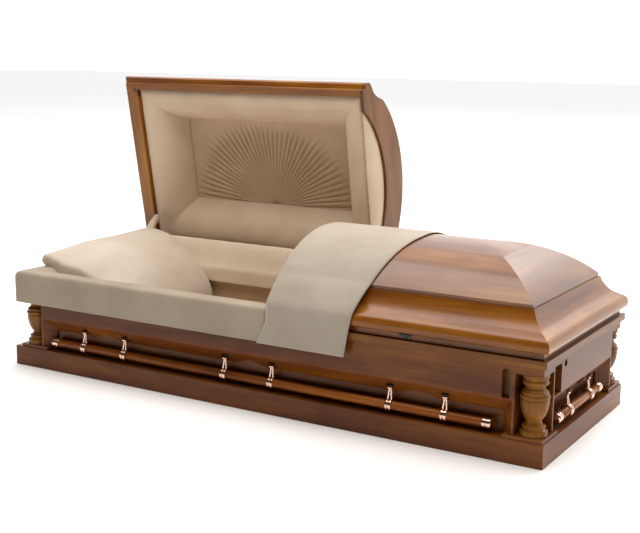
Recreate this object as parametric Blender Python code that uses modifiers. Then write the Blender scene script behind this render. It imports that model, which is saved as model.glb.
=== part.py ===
"""A half-couch wooden casket with turned corner urns, swing-bar handles and a cloth lining.

Metres, +Z up. The foot end is at +X, the front at -Y, and the base stands on Z = 0.
The head half of the lid is open, and the foot half is closed.
An inset is a distance inward from the base's outer edge.
"""

import math

import bmesh
import bpy
from mathutils import Matrix, Vector

# Overall sizes
LENGTH = 2.130
WIDTH = 0.770
GAP = 0.0003
HEAD_SETBACK = 0.024

# Base, bottom board and corner pads
BASE_HEIGHT = 0.074
BASE_BOARD = 0.022
BASE_FLANGE_WIDTH = 0.125
BASE_FLANGE = 0.016
BOTTOM_THICKNESS = 0.016
PAD_INSET = 0.005
PAD_REACH = 0.133
PAD_HEIGHT = 0.012

# Sides and ends of the case
FACE_INSET = 0.012
SIDE_THICKNESS = 0.062
BOARD_THICKNESS = 0.024
CASE_TOP = 0.303
ARRIS_HEIGHT = 0.193
CANT_HEIGHT = 0.146
CANT_DEPTH = 0.038
PANEL_REVEAL = 0.006
RECESS_END = 0.108
SIDE_ARCH_RISE = 0.020
SIDE_ARCH_HALF = 0.076
END_ARCH_RISE = 0.040
END_ARCH_HALF = 0.064
RAIL_INSIDE_HEIGHT = 0.215
SIDE_NICHE_NEAR = 0.116
SIDE_NICHE_WIDTH = 0.026
END_NICHE_NEAR = 0.107
END_NICHE_WIDTH = 0.060
NICHE_BOTTOM = 0.195
NICHE_TOP = 0.287
NICHE_DEPTH = 0.022
LOCK_HOLE_RADIUS = 0.012
LOCK_HOLE_FROM_MIDDLE = 0.1845

# Corner notches, posts and urns
NOTCH = 0.100
NOTCH_TOP = 0.276
POST_LEG = 0.010
URN_INSET = 0.0515
URN_RADIUS = 0.0455

# Ledge around the top of the case
LEDGE_INSET = 0.0015
LEDGE_WIDTH = 0.060
LEDGE_HEIGHT = 0.023

# Lid
LID_CUT = 0.095
LID_SPLIT_GAP = 0.0015
FASCIA_INSET = 0.0165
CROWN_INSET = 0.0795
CROWN_EAVE = 0.1455
CROWN_RISE = 0.124
CROWN_THICKNESS = 0.012
FRAME_BOTTOM_SIDE = 0.0405
FRAME_BOTTOM_END = 0.071
HEADER_THICKNESS = 0.013
HEADER_ARCH_HALF = 0.286
HEADER_ARCH_RISE = 0.124
HINGE_INSET = 0.007
OPEN_ANGLE = math.radians(79.4)

# Handles
HANDLE_AXIS_INSET = 0.029
HANDLE_AXIS_HEIGHT = 0.160
BAR_INSET = 0.0275
BAR_HEIGHT = 0.104
BAR_RADIUS = 0.0145
SIDE_BAR_HALF = 0.893
END_BAR_HALF = 0.210
TIP_LENGTH = 0.031
TIP_RADIUS = 0.0172
SIDE_ARMS = (0.0967, 0.544, 0.735)
END_ARMS = (0.100,)
COLLAR_RADIUS = 0.0205
COLLAR_LENGTH = 0.022
EYE_RADIUS = 0.0065
EYE_LENGTH = 0.016

# Lining, mattress, pillow and cloths
LINING_INSET = 0.0747
LINING_THICKNESS = 0.023
LINING_CORNER = 0.075
LINING_ROLL = 0.043
MATTRESS_TOP = 0.172
CLOTH_OUT = 0.0095
CLOTH_THICKNESS = 0.006
CLOTH_HEM = 0.249
CLOTH_TOP = 0.368
THROW_HEM = 0.2455
THROW_NARROW = 0.299
THROW_WIDE = 0.396
THROW_FLARE = 0.036

HALF_LENGTH = LENGTH / 2
HALF_WIDTH = WIDTH / 2
LEDGE_TOP = CASE_TOP + GAP + LEDGE_HEIGHT
LID_BOTTOM = LEDGE_TOP + GAP
PAD_TOP = BASE_HEIGHT + PAD_HEIGHT
# How far the case and the lids reach from the middle, toward the head and toward the foot
REACH = {-1: HALF_LENGTH - HEAD_SETBACK, 1: HALF_LENGTH}

for old in list(bpy.data.objects):
    bpy.data.objects.remove(old, do_unlink=True)

casket = bpy.data.collections.new("casket")
cutters = bpy.data.collections.new("cutters")
bpy.context.scene.collection.children.link(casket)
bpy.context.scene.collection.children.link(cutters)


def principled(name, colour, roughness, metallic=0.0):
    material = bpy.data.materials.new(name)
    material.use_nodes = True
    shader = material.node_tree.nodes["Principled BSDF"]
    shader.inputs["Base Color"].default_value = (*colour, 1.0)
    shader.inputs["Roughness"].default_value = roughness
    shader.inputs["Metallic"].default_value = metallic
    return material


WOOD = principled("lacquered_hardwood", (0.20, 0.085, 0.030), 0.28)
LID_WOOD = principled("lid_hardwood", (0.30, 0.13, 0.045), 0.25)
ROSE_METAL = principled("rose_metal", (0.72, 0.46, 0.36), 0.22, 1.0)
BLACK_METAL = principled("black_metal", (0.02, 0.02, 0.02), 0.4, 1.0)
CREAM_CLOTH = principled("cream_cloth", (0.68, 0.58, 0.47), 0.75)


def place(name, mesh, material, collection=casket):
    """Put a mesh into the scene as an object of its own."""
    thing = bpy.data.objects.new(name, mesh)
    collection.objects.link(thing)
    if material and not mesh.materials:
        mesh.materials.append(material)
    if collection is cutters:
        thing.hide_render = True
        thing.display_type = "WIRE"
    return thing


def mesh_of(shape, name):
    """Turn a bmesh into a mesh with its faces pointing out."""
    bmesh.ops.recalc_face_normals(shape, faces=shape.faces[:])
    mesh = bpy.data.meshes.new(name)
    shape.to_mesh(mesh)
    shape.free()
    return mesh


def block(name, low, high):
    """A box between two corners."""
    shape = bmesh.new()
    bmesh.ops.create_cube(shape, size=1.0)
    size = Vector(high) - Vector(low)
    middle = (Vector(high) + Vector(low)) / 2
    for vertex in shape.verts:
        vertex.co = Vector(a * b for a, b in zip(vertex.co, size)) + middle
    return mesh_of(shape, name)


def prism(name, outline, start, depth):
    """An outline of 3-D points in one plane, moved to start and drawn out along depth."""
    shape = bmesh.new()
    corners = [shape.verts.new(Vector(point) + Vector(start)) for point in outline]
    face = shape.faces.new(corners)
    drawn = bmesh.ops.extrude_face_region(shape, geom=[face])
    moved = [item for item in drawn["geom"] if isinstance(item, bmesh.types.BMVert)]
    bmesh.ops.translate(shape, vec=Vector(depth), verts=moved)
    return mesh_of(shape, name)


def swept(name, section, path, closed):
    """Carry a section along a path with mitred corners.

    Each point of the section is (inset at the sides, inset at the ends, height),
    and the path turns two insets into the plan corners.
    """
    shape = bmesh.new()
    rows = []
    for side_inset, end_inset, height in section:
        corners = path(side_inset, end_inset)
        rows.append([shape.verts.new((x, y, height)) for x, y in corners])
    count = len(rows[0])
    spans = count if closed else count - 1
    for here, there in zip(rows, rows[1:] + rows[:1]):
        for k in range(spans):
            n = (k + 1) % count
            shape.faces.new((here[k], here[n], there[n], there[k]))
    if not closed:
        for k in (0, count - 1):
            shape.faces.new([row[k] for row in rows])
    return mesh_of(shape, name)


def even(section):
    """A section whose insets are the same at the sides and the ends."""
    return [(inset, inset, height) for inset, height in section]


def base_path(side_inset, end_inset):
    x = HALF_LENGTH - end_inset
    y = HALF_WIDTH - side_inset
    return [(-x, -y), (x, -y), (x, y), (-x, y)]


def case_path(side_inset, end_inset):
    head = end_inset - REACH[-1]
    foot = REACH[1] - end_inset
    y = HALF_WIDTH - side_inset
    return [(head, -y), (foot, -y), (foot, y), (head, y)]


def joined(thing, name, cutter, operation="DIFFERENCE"):
    """A Boolean modifier that stays on the object."""
    change = thing.modifiers.new(name, "BOOLEAN")
    change.operation = operation
    change.object = cutter
    change.solver = "EXACT"
    return thing


def baked(thing):
    """Replace an object that has modifiers by its finished mesh."""
    graph = bpy.context.evaluated_depsgraph_get()
    finished = bpy.data.meshes.new_from_object(thing.evaluated_get(graph))
    bpy.data.objects.remove(thing, do_unlink=True)
    return finished


def smooth(mesh, degrees):
    mesh.shade_smooth()
    mesh.set_sharp_from_angle(angle=math.radians(degrees))


CORNERS = {
    "front_foot": (1, -1),
    "back_foot": (1, 1),
    "back_head": (-1, 1),
    "front_head": (-1, -1),
}


def corner_block(name, near, far, bottom, top):
    """Boxes at the four corners, between two distances from the base's edges."""
    boxes = {}
    for corner, (sx, sy) in CORNERS.items():
        xs = sorted((sx * (REACH[sx] - near), sx * (REACH[sx] - far)))
        ys = sorted((sy * (HALF_WIDTH - near), sy * (HALF_WIDTH - far)))
        mesh = block(f"{name}_{corner}", (xs[0], ys[0], bottom), (xs[1], ys[1], top))
        boxes[corner] = mesh
    return boxes


# The base is a mitred frame: an upright board, and a flat flange that carries the case.
# A low pad at each corner carries an urn.
base_section = [
    (0.0, 0.0),
    (0.0, BASE_HEIGHT),
    (BASE_FLANGE_WIDTH, BASE_HEIGHT),
    (BASE_FLANGE_WIDTH, BASE_HEIGHT - BASE_FLANGE),
    (BASE_BOARD, BASE_HEIGHT - BASE_FLANGE),
    (BASE_BOARD, 0.0),
]
base = place("base_frame", swept("base_frame", even(base_section), base_path, True), WOOD)


def pad_meshes(name, outside, spare, low, high):
    """A square pad at each corner, with an arm along the foot of each side."""
    near = FACE_INSET + SIDE_THICKNESS + spare
    square = NOTCH - GAP + spare
    reach = PAD_REACH + spare
    plan = [(outside, outside), (reach, outside), (reach, near), (square, near)]
    plan += [(square, square), (near, square), (near, reach), (outside, reach)]
    found = {}
    for corner, (sx, sy) in CORNERS.items():
        points = [(sx * (REACH[sx] - a), sy * (HALF_WIDTH - b), 0.0) for a, b in plan]
        found[corner] = prism(f"{name}_{corner}", points, (0, 0, low), (0, 0, high - low))
    return found


pads = pad_meshes("pad", PAD_INSET, 0.0, BASE_HEIGHT - 0.008, PAD_TOP)
for corner, mesh in pads.items():
    joined(base, corner, place(mesh.name, mesh, None, cutters), "UNION")

inner = BASE_BOARD + GAP
place(
    "bottom_board",
    block(
        "bottom_board",
        (-HALF_LENGTH + inner, -HALF_WIDTH + inner, 0.0),
        (HALF_LENGTH - inner, HALF_WIDTH - inner, BOTTOM_THICKNESS),
    ),
    WOOD,
)

# Spaces cut from the corners of the case: one for each urn, and one that clears each pad.
notch_meshes = corner_block("notch", -0.02, NOTCH, BASE_HEIGHT - 0.02, NOTCH_TOP)
notches = {c: place(m.name, m, None, cutters) for c, m in notch_meshes.items()}
space_meshes = pad_meshes("pad_space", -0.02, GAP, BASE_HEIGHT - 0.02, PAD_TOP + GAP)
pad_spaces = {c: place(m.name, m, None, cutters) for c, m in space_meshes.items()}


def recess_cutter(name, left, right):
    """The picture-frame recess behind a handle: sloping reveals, then a short straight one."""
    slope = (ARRIS_HEIGHT - CANT_HEIGHT) / CANT_DEPTH
    outside = 0.010
    inside = FACE_INSET + CANT_DEPTH
    stages = [
        (FACE_INSET - outside, outside - RECESS_END, ARRIS_HEIGHT + slope * outside),
        (inside, -RECESS_END - CANT_DEPTH, CANT_HEIGHT),
        (inside + PANEL_REVEAL, -RECESS_END - CANT_DEPTH, CANT_HEIGHT),
    ]
    shape = bmesh.new()
    loops = []
    for inset, change, top in stages:
        low = BASE_HEIGHT - 0.02
        x0 = -left - change
        x1 = right + change
        corners = ((x0, low), (x1, low), (x1, top), (x0, top))
        loops.append([shape.verts.new((x, inset, z)) for x, z in corners])
    shape.faces.new(loops[0])
    shape.faces.new(loops[-1])
    for here, there in zip(loops, loops[1:]):
        for k in range(4):
            n = (k + 1) % 4
            shape.faces.new((here[k], here[n], there[n], there[k]))
    return mesh_of(shape, name)


def arch_cutter(name, middle, half, rise, power):
    """The rise in the sloping moulding between two handle arms: a bell, or a rounder arch."""
    low = CANT_HEIGHT - 0.012
    outline = [(middle - half, 0.0, low)]
    steps = 10
    for k in range(steps + 1):
        t = -1.0 + 2.0 * k / steps
        height = rise * math.cos(t * math.pi / 2) ** power
        outline.append((middle + t * half, 0.0, CANT_HEIGHT - 0.0005 + height))
    outline.append((middle + half, 0.0, low))
    start = (0.0, FACE_INSET + 0.004, 0.0)
    return prism(name, outline, start, (0.0, CANT_DEPTH + PANEL_REVEAL - 0.004, 0.0))


def niche_cutter(name, near, far):
    """A shallow upright recess beside the corner, rounded at its far top corner."""
    radius = 0.011
    toward = 1 if near > far else -1
    outline = [(near, 0.0, NICHE_TOP), (near, 0.0, NICHE_BOTTOM), (far, 0.0, NICHE_BOTTOM)]
    for k in range(5):
        angle = k * math.pi / 8
        x = far + toward * (radius - radius * math.cos(angle))
        z = NICHE_TOP - radius + radius * math.sin(angle)
        outline.append((x, 0.0, z))
    start = (0.0, FACE_INSET - 0.01, 0.0)
    return prism(name, outline, start, (0.0, NICHE_DEPTH + 0.01, 0.0))


def case_wall(name, reach, across, turn, arches, niche=None, lock=None):
    """One side or end: built with its outer face along local X, then turned to its place.

    Its depth runs along local +Y from the base's outer edge, and its ends are mitred.
    """
    left, right = reach
    corner = FACE_INSET + GAP / 2
    inside = FACE_INSET + SIDE_THICKNESS
    plan = [
        (corner - left, FACE_INSET, 0.0),
        (right - corner, FACE_INSET, 0.0),
        (right - corner - SIDE_THICKNESS, inside, 0.0),
        (corner - left + SIDE_THICKNESS, inside, 0.0),
    ]
    bottom = BASE_HEIGHT + GAP
    wall = place(name, prism(name, plan, (0, 0, bottom), (0, 0, CASE_TOP - bottom)), WOOD)
    cuts = [recess_cutter(f"{name}_recess", left, right)]
    for k, arch in enumerate(arches):
        cuts.append(arch_cutter(f"{name}_arch_{k}", *arch))
    if niche is not None:
        cuts.append(niche_cutter(f"{name}_niche", *niche))
    low = (0.150 - left, FACE_INSET + BOARD_THICKNESS, RAIL_INSIDE_HEIGHT)
    high = (right - 0.150, inside + 0.01, CASE_TOP + 0.01)
    cuts.append(block(f"{name}_hollow", low, high))
    if lock is not None:
        hole = bmesh.new()
        bmesh.ops.create_cone(
            hole,
            cap_ends=True,
            segments=16,
            radius1=LOCK_HOLE_RADIUS,
            radius2=LOCK_HOLE_RADIUS,
            depth=0.026,
            matrix=Matrix.Translation((lock, FACE_INSET, 0.279)) @ Matrix.Rotation(math.pi / 2, 4, "X"),
        )
        cuts.append(mesh_of(hole, f"{name}_lock_hole"))
    turned = Matrix.Rotation(turn, 4, "Z") @ Matrix.Translation((0.0, -across, 0.0))
    for mesh in cuts:
        mesh.transform(turned)
        joined(wall, mesh.name, place(mesh.name, mesh, None, cutters))
    wall.data.transform(turned)
    for corner in CORNERS:
        joined(wall, f"notch_{corner}", notches[corner])
        joined(wall, f"pad_{corner}", pad_spaces[corner])
    return wall


pair_middle = (SIDE_ARMS[1] + SIDE_ARMS[2]) / 2
bell = (SIDE_ARCH_HALF, SIDE_ARCH_RISE, 2.0)
side_arches = [(middle, *bell) for middle in (-pair_middle, 0.0, pair_middle)]
end_arches = [(0.0, END_ARCH_HALF, END_ARCH_RISE, 0.5)]
side_niche = (HALF_LENGTH - SIDE_NICHE_NEAR, HALF_LENGTH - SIDE_NICHE_NEAR - SIDE_NICHE_WIDTH)
end_niche = (END_NICHE_NEAR - HALF_WIDTH, END_NICHE_NEAR + END_NICHE_WIDTH - HALF_WIDTH)
head, foot = REACH[-1], REACH[1]
ends_reach = (HALF_WIDTH, HALF_WIDTH)
case_wall("front_side", (head, foot), HALF_WIDTH, 0.0, side_arches, side_niche)
case_wall("back_side", (foot, head), HALF_WIDTH, math.pi, side_arches)
case_wall(
    "foot_end", ends_reach, foot, math.pi / 2, end_arches, end_niche, -LOCK_HOLE_FROM_MIDDLE
)
case_wall("head_end", ends_reach, head, -math.pi / 2, end_arches)

# A post closes the case behind each urn: two legs below, and a solid block above the notch.
post_near = FACE_INSET + SIDE_THICKNESS + GAP
post_meshes = corner_block("corner_post", post_near, NOTCH + POST_LEG, BASE_HEIGHT + GAP, CASE_TOP)
for corner, mesh in post_meshes.items():
    post = place(mesh.name, mesh, WOOD)
    joined(post, "notch", notches[corner])


def urn_mesh():
    """A turned urn: cap, bead, neck, ringed shoulder, tapering bowl, neck and stepped foot."""
    height = NOTCH_TOP - PAD_TOP - 2 * GAP
    shares = [
        (0.000, 0.00),
        (0.900, 0.00),
        (0.900, 0.045),
        (0.800, 0.060),
        (0.860, 0.100),
        (0.850, 0.145),
        (0.660, 0.185),
        (0.660, 0.225),
        (0.900, 0.280),
        (0.900, 0.310),
        (1.000, 0.340),
        (1.000, 0.385),
        (0.930, 0.400),
        (0.960, 0.480),
        (0.830, 0.620),
        (0.540, 0.740),
        (0.540, 0.780),
        (0.760, 0.830),
        (0.740, 0.870),
        (0.900, 0.910),
        (0.920, 1.000),
        (0.000, 1.000),
    ]
    shape = bmesh.new()
    points = [(URN_RADIUS * r, 0.0, height * (1.0 - t)) for r, t in shares]
    vertices = [shape.verts.new(point) for point in points]
    for here, there in zip(vertices, vertices[1:]):
        shape.edges.new((here, there))
    mesh = bpy.data.meshes.new("urn_profile")
    shape.to_mesh(mesh)
    shape.free()
    turned = place("urn_profile", mesh, None)
    screw = turned.modifiers.new("turn", "SCREW")
    screw.steps = 14
    screw.render_steps = 14
    screw.use_merge_vertices = True
    screw.merge_threshold = 0.0001
    finished = baked(turned)
    smooth(finished, 35)
    return finished


urn = urn_mesh()
urn.materials.append(WOOD)
for corner, (sx, sy) in CORNERS.items():
    thing = place(f"urn_{corner}", urn, WOOD)
    thing.location = (
        sx * (REACH[sx] - URN_INSET),
        sy * (HALF_WIDTH - URN_INSET),
        PAD_TOP + GAP,
    )

# The ledge is a flat moulding that caps the case and stands proud of its faces.
ledge_section = [
    (LEDGE_INSET, CASE_TOP + GAP + 0.001),
    (LEDGE_INSET, LEDGE_TOP - 0.001),
    (LEDGE_INSET + 0.001, LEDGE_TOP),
    (LEDGE_INSET + LEDGE_WIDTH, LEDGE_TOP),
    (LEDGE_INSET + LEDGE_WIDTH, CASE_TOP + GAP),
    (LEDGE_INSET + 0.001, CASE_TOP + GAP),
]
place("ledge", swept("ledge", even(ledge_section), case_path, True), WOOD)

# Lid mouldings, from the fascia up: bullnose, ogee and the flat that carries the crown.
CROWN_Z = LID_BOTTOM + CROWN_EAVE
SEAT_Z = CROWN_Z - 0.0115
moulding = [
    (FASCIA_INSET, 0.0),
    (FASCIA_INSET, 0.0185),
    (-0.0017, 0.0250),
    (-0.0042, 0.0330),
    (-0.0045, 0.0420),
    (-0.0015, 0.0530),
    (0.0060, 0.0620),
    (0.0247, 0.0725),
    (0.0412, 0.0825),
    (0.0552, 0.0975),
    (0.0666, 0.1155),
    (0.0740, 0.1340),
]


def frame_section():
    section = [(inset, inset, LID_BOTTOM + rise) for inset, rise in moulding]
    seat = CROWN_INSET + 0.018
    section.append((seat, seat, SEAT_Z))
    section.append((seat, seat, SEAT_Z - 0.012))
    section.append((0.062, FRAME_BOTTOM_END, LID_BOTTOM + 0.074))
    section.append((FRAME_BOTTOM_SIDE, FRAME_BOTTOM_END, LID_BOTTOM + 0.056))
    section.append((FRAME_BOTTOM_SIDE, FRAME_BOTTOM_END, LID_BOTTOM))
    return section


def half_path(cut, sign):
    """From the cut, round one end of the lid and back to the cut."""

    def path(side_inset, end_inset):
        x = sign * (REACH[sign] - end_inset)
        y = HALF_WIDTH - side_inset
        return [(cut, -y), (x, -y), (x, y), (cut, y)]

    return path


CROWN_HALF = HALF_WIDTH - CROWN_INSET
CROWN_RADIUS = (CROWN_HALF**2 + CROWN_RISE**2) / (2 * CROWN_RISE)
CROWN_CENTRE = CROWN_Z + CROWN_RISE - CROWN_RADIUS
CROWN_ANGLE = math.asin(CROWN_HALF / CROWN_RADIUS)


def crown_arc(radius, steps):
    """Points (y, z) of the crown's arc from the eave to the ridge."""
    points = []
    for k in range(steps + 1):
        angle = CROWN_ANGLE * (1.0 - k / steps)
        points.append((radius * math.sin(angle), CROWN_CENTRE + radius * math.cos(angle)))
    return points


def crown_mesh(name, cut, sign):
    """A barrel shell with a hipped end whose curve is the same as the sides'."""
    steps = 11
    outer = crown_arc(CROWN_RADIUS, steps)
    inner = crown_arc(CROWN_RADIUS - CROWN_THICKNESS, steps)
    foot = SEAT_Z + GAP
    section = [(CROWN_HALF, foot)] + outer
    section += inner[::-1]
    section += [(inner[0][0], foot)]
    shape = bmesh.new()
    apex = sign * (REACH[sign] - CROWN_INSET - CROWN_HALF)
    rows = []
    for reach, z in section:
        x = apex + sign * reach
        plan = [(cut, -reach), (x, -reach), (x, reach), (cut, reach)]
        rows.append([shape.verts.new((a, b, z)) for a, b in plan])
    ridge = steps + 1
    for k, (here, there) in enumerate(zip(rows, rows[1:] + rows[:1])):
        if k == ridge:
            continue
        for j in range(3):
            shape.faces.new((here[j], here[j + 1], there[j + 1], there[j]))
    left = [row[0] for row in rows]
    right = [row[3] for row in rows]
    for k in range(ridge):
        mirror = len(rows) - 1 - k
        for side in (left, right):
            shape.faces.new((side[k], side[k + 1], side[mirror - 1], side[mirror]))
    bmesh.ops.remove_doubles(shape, verts=shape.verts[:], dist=0.00001)
    return mesh_of(shape, name)


def header_mesh(name, low_x, high_x):
    """The arched board that closes a lid's cut end and shows its whole outline."""
    side = [(HALF_WIDTH - inset, LID_BOTTOM + rise) for inset, rise in moulding]
    side += [(CROWN_HALF + 0.004, SEAT_Z), (CROWN_HALF, SEAT_Z + 0.002)]
    side += crown_arc(CROWN_RADIUS, 11)
    outline = side + [(-y, z) for y, z in reversed(side[:-1])]
    radius = (HEADER_ARCH_HALF**2 + HEADER_ARCH_RISE**2) / (2 * HEADER_ARCH_RISE)
    spring = LID_BOTTOM + 0.010
    centre = spring + HEADER_ARCH_RISE - radius
    reach = math.asin(HEADER_ARCH_HALF / radius)
    outline.append((-HEADER_ARCH_HALF - 0.004, LID_BOTTOM))
    steps = 12
    for k in range(steps + 1):
        angle = -reach + 2 * reach * k / steps
        outline.append((radius * math.sin(angle), centre + radius * math.cos(angle)))
    outline.append((HEADER_ARCH_HALF + 0.004, LID_BOTTOM))
    points = [(0.0, y, z) for y, z in outline]
    return prism(name, points, (low_x, 0, 0), (high_x - low_x, 0, 0))


HINGE = Vector((0.0, HALF_WIDTH - HINGE_INSET, LID_BOTTOM - 0.0015))
head_hinge = bpy.data.objects.new("head_lid_axis", None)
foot_hinge = bpy.data.objects.new("foot_lid_axis", None)
for hinge in (head_hinge, foot_hinge):
    casket.objects.link(hinge)
    hinge.location = HINGE
head_hinge.rotation_euler.x = -OPEN_ANGLE


def hang(mesh, name, material, hinge):
    """Give a lid piece, modelled closed, its origin on the hinge axis and its parent there."""
    mesh.transform(Matrix.Translation(-HINGE))
    thing = place(name, mesh, material)
    thing.parent = hinge
    return thing


head_cut = LID_CUT
foot_cut = LID_CUT + LID_SPLIT_GAP
head_inner = head_cut - HEADER_THICKNESS
foot_inner = foot_cut + HEADER_THICKNESS
for half, cut, header, sign, hinge in (
    ("head", head_inner - GAP, (head_inner, head_cut), -1, head_hinge),
    ("foot", foot_inner + GAP, (foot_cut, foot_inner), 1, foot_hinge),
):
    frame_mesh = swept(f"{half}_lid_frame", frame_section(), half_path(cut, sign), False)
    hang(frame_mesh, f"{half}_lid_frame", LID_WOOD, hinge)
    shell = crown_mesh(f"{half}_lid_crown", cut, sign)
    smooth(shell, 30)
    hang(shell, f"{half}_lid_crown", LID_WOOD, hinge)
    hang(header_mesh(f"{half}_lid_header", *header), f"{half}_lid_header", LID_WOOD, hinge)


def border_mesh():
    """The padded border inside the head lid: four rounded strips mitred around the panel."""
    outside = {
        "x0": -REACH[-1] + FRAME_BOTTOM_END + 0.001,
        "x1": head_inner - 0.001,
        "y": HALF_WIDTH - FRAME_BOTTOM_SIDE - 0.001,
    }
    opening = {"x0": -0.800, "x1": -0.040, "y0": -0.210, "y1": 0.135}
    section = [
        (0.00, 0.020),
        (0.15, 0.008),
        (0.38, 0.004),
        (0.62, 0.018),
        (0.85, 0.058),
        (1.00, 0.096),
        (1.00, 0.112),
        (0.72, 0.080),
        (0.35, 0.052),
        (0.00, 0.048),
    ]
    shape = bmesh.new()
    rows = []
    for t, depth in section:
        x0 = outside["x0"] + t * (opening["x0"] - outside["x0"])
        x1 = outside["x1"] + t * (opening["x1"] - outside["x1"])
        y0 = -outside["y"] + t * (opening["y0"] + outside["y"])
        y1 = outside["y"] + t * (opening["y1"] - outside["y"])
        corners = ((x0, y0), (x1, y0), (x1, y1), (x0, y1))
        rows.append([shape.verts.new((x, y, LID_BOTTOM + depth)) for x, y in corners])
    for here, there in zip(rows, rows[1:] + rows[:1]):
        for k in range(4):
            n = (k + 1) % 4
            shape.faces.new((here[k], here[n], there[n], there[k]))
    panel_low = (opening["x0"] + 0.001, opening["y0"] + 0.001, LID_BOTTOM + 0.100)
    panel_high = (opening["x1"] - 0.001, opening["y1"] - 0.001, LID_BOTTOM + 0.110)
    panel = block("head_lid_panel", panel_low, panel_high)
    return mesh_of(shape, "head_lid_border"), panel


border, panel = border_mesh()
hang(border, "head_lid_border", CREAM_CLOTH, head_hinge)
hang(panel, "head_lid_panel", CREAM_CLOTH, head_hinge)
foot_pad_low = (foot_inner + 0.001, -HALF_WIDTH + FRAME_BOTTOM_SIDE + 0.001, LID_BOTTOM + 0.024)
foot_pad_high = (
    HALF_LENGTH - FRAME_BOTTOM_END - 0.001,
    HALF_WIDTH - FRAME_BOTTOM_SIDE - 0.001,
    LID_BOTTOM + 0.036,
)
foot_pad = block("foot_lid_lining", foot_pad_low, foot_pad_high)
hang(foot_pad, "foot_lid_lining", CREAM_CLOTH, foot_hinge)

# The latch is a small black plate on the foot lid's fascia.
latch_y = -HALF_WIDTH + FASCIA_INSET - GAP
latch_plan = [
    (0.578, 0.0, LID_BOTTOM + 0.017),
    (0.618, 0.0, LID_BOTTOM + 0.017),
    (0.618, 0.0, LID_BOTTOM + 0.009),
    (0.604, 0.0, LID_BOTTOM + 0.009),
    (0.604, 0.0, LID_BOTTOM + 0.0005),
    (0.592, 0.0, LID_BOTTOM + 0.0005),
    (0.592, 0.0, LID_BOTTOM + 0.009),
    (0.578, 0.0, LID_BOTTOM + 0.009),
]
latch_mesh = prism("latch_plate", latch_plan, (0.0, latch_y, 0.0), (0.0, -0.003, 0.0))
hang(latch_mesh, "latch_plate", BLACK_METAL, foot_hinge)


def throw_mesh():
    """The cloth folded over the foot lid: its path crosses the lid from front hem to back."""
    y = HALF_WIDTH
    arc = [(-a, b) for a, b in crown_arc(CROWN_RADIUS + 0.0015, 7)]
    path = [
        (-y - 0.0115, THROW_HEM),
        (-y - 0.0115, LEDGE_TOP - 0.004),
        (-y - 0.0085, LID_BOTTOM + 0.040),
        (-y - 0.0040, LID_BOTTOM + 0.060),
        (-y + 0.0330, LID_BOTTOM + 0.108),
    ]
    path += arc + [(-a, b) for a, b in reversed(arc[:-1])]
    path.append((y - 0.0330, LID_BOTTOM + 0.108))
    shape = bmesh.new()
    length = [0.0]
    for here, there in zip(path, path[1:]):
        length.append(length[-1] + math.dist(here, there))
    rows = []
    for k, (a, b) in enumerate(path):
        before = path[max(k - 1, 0)]
        after = path[min(k + 1, len(path) - 1)]
        along = Vector((after[0] - before[0], after[1] - before[1])).normalized()
        out = Vector((-along.y, along.x)) * CLOTH_THICKNESS
        share = min(1.0, length[k] / 0.55)
        right = foot_cut + 0.001 + THROW_NARROW + (THROW_WIDE - THROW_NARROW) * share
        left = foot_cut + 0.001 - THROW_FLARE * max(0.0, 1.0 - length[k] / 0.076)
        corners = (
            (left, a, b),
            (right, a, b),
            (right, a + out.x, b + out.y),
            (left, a + out.x, b + out.y),
        )
        rows.append([shape.verts.new(corner) for corner in corners])
    for here, there in zip(rows, rows[1:]):
        for j in range(4):
            n = (j + 1) % 4
            shape.faces.new((here[j], here[n], there[n], there[j]))
    shape.faces.new(rows[0])
    shape.faces.new(rows[-1])
    return mesh_of(shape, "throw")


hang(throw_mesh(), "throw", CREAM_CLOTH, foot_hinge)

# The lining is a padded tub whose corners pass inside the posts, with a roll along its top.
roll_low = LEDGE_TOP - 0.042
lining_section = [
    (LINING_INSET, BASE_HEIGHT + GAP),
    (LINING_INSET, LEDGE_TOP - GAP),
    (LINING_INSET + LINING_ROLL - 0.008, LEDGE_TOP - GAP),
    (LINING_INSET + LINING_ROLL, LEDGE_TOP - 0.010),
    (LINING_INSET + LINING_ROLL, roll_low + 0.010),
    (LINING_INSET + LINING_THICKNESS, roll_low - 0.020),
    (LINING_INSET + LINING_THICKNESS, BASE_HEIGHT + GAP),
]


def cut_corner_path(side_inset, end_inset):
    """The ring with its corners cut off at 45 degrees, one width apart all the way round."""
    head = end_inset - REACH[-1]
    foot = REACH[1] - end_inset
    y = HALF_WIDTH - side_inset
    c = LINING_CORNER - (side_inset - LINING_INSET) * (2 - math.sqrt(2))
    points = [(head + c, -y), (foot - c, -y), (foot, -y + c), (foot, y - c)]
    return points + [(foot - c, y), (head + c, y), (head, y - c), (head, -y + c)]


lining = swept("lining", even(lining_section), cut_corner_path, True)
place("lining", lining, CREAM_CLOTH)

bed_inset = LINING_INSET + LINING_THICKNESS + 0.0015
bed_plan = [(a, b, 0.0) for a, b in cut_corner_path(bed_inset, bed_inset)]
bed_low = BASE_HEIGHT + GAP
bed = prism("mattress", bed_plan, (0, 0, bed_low), (0, 0, MATTRESS_TOP - bed_low))
place("mattress", bed, CREAM_CLOTH)


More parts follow.
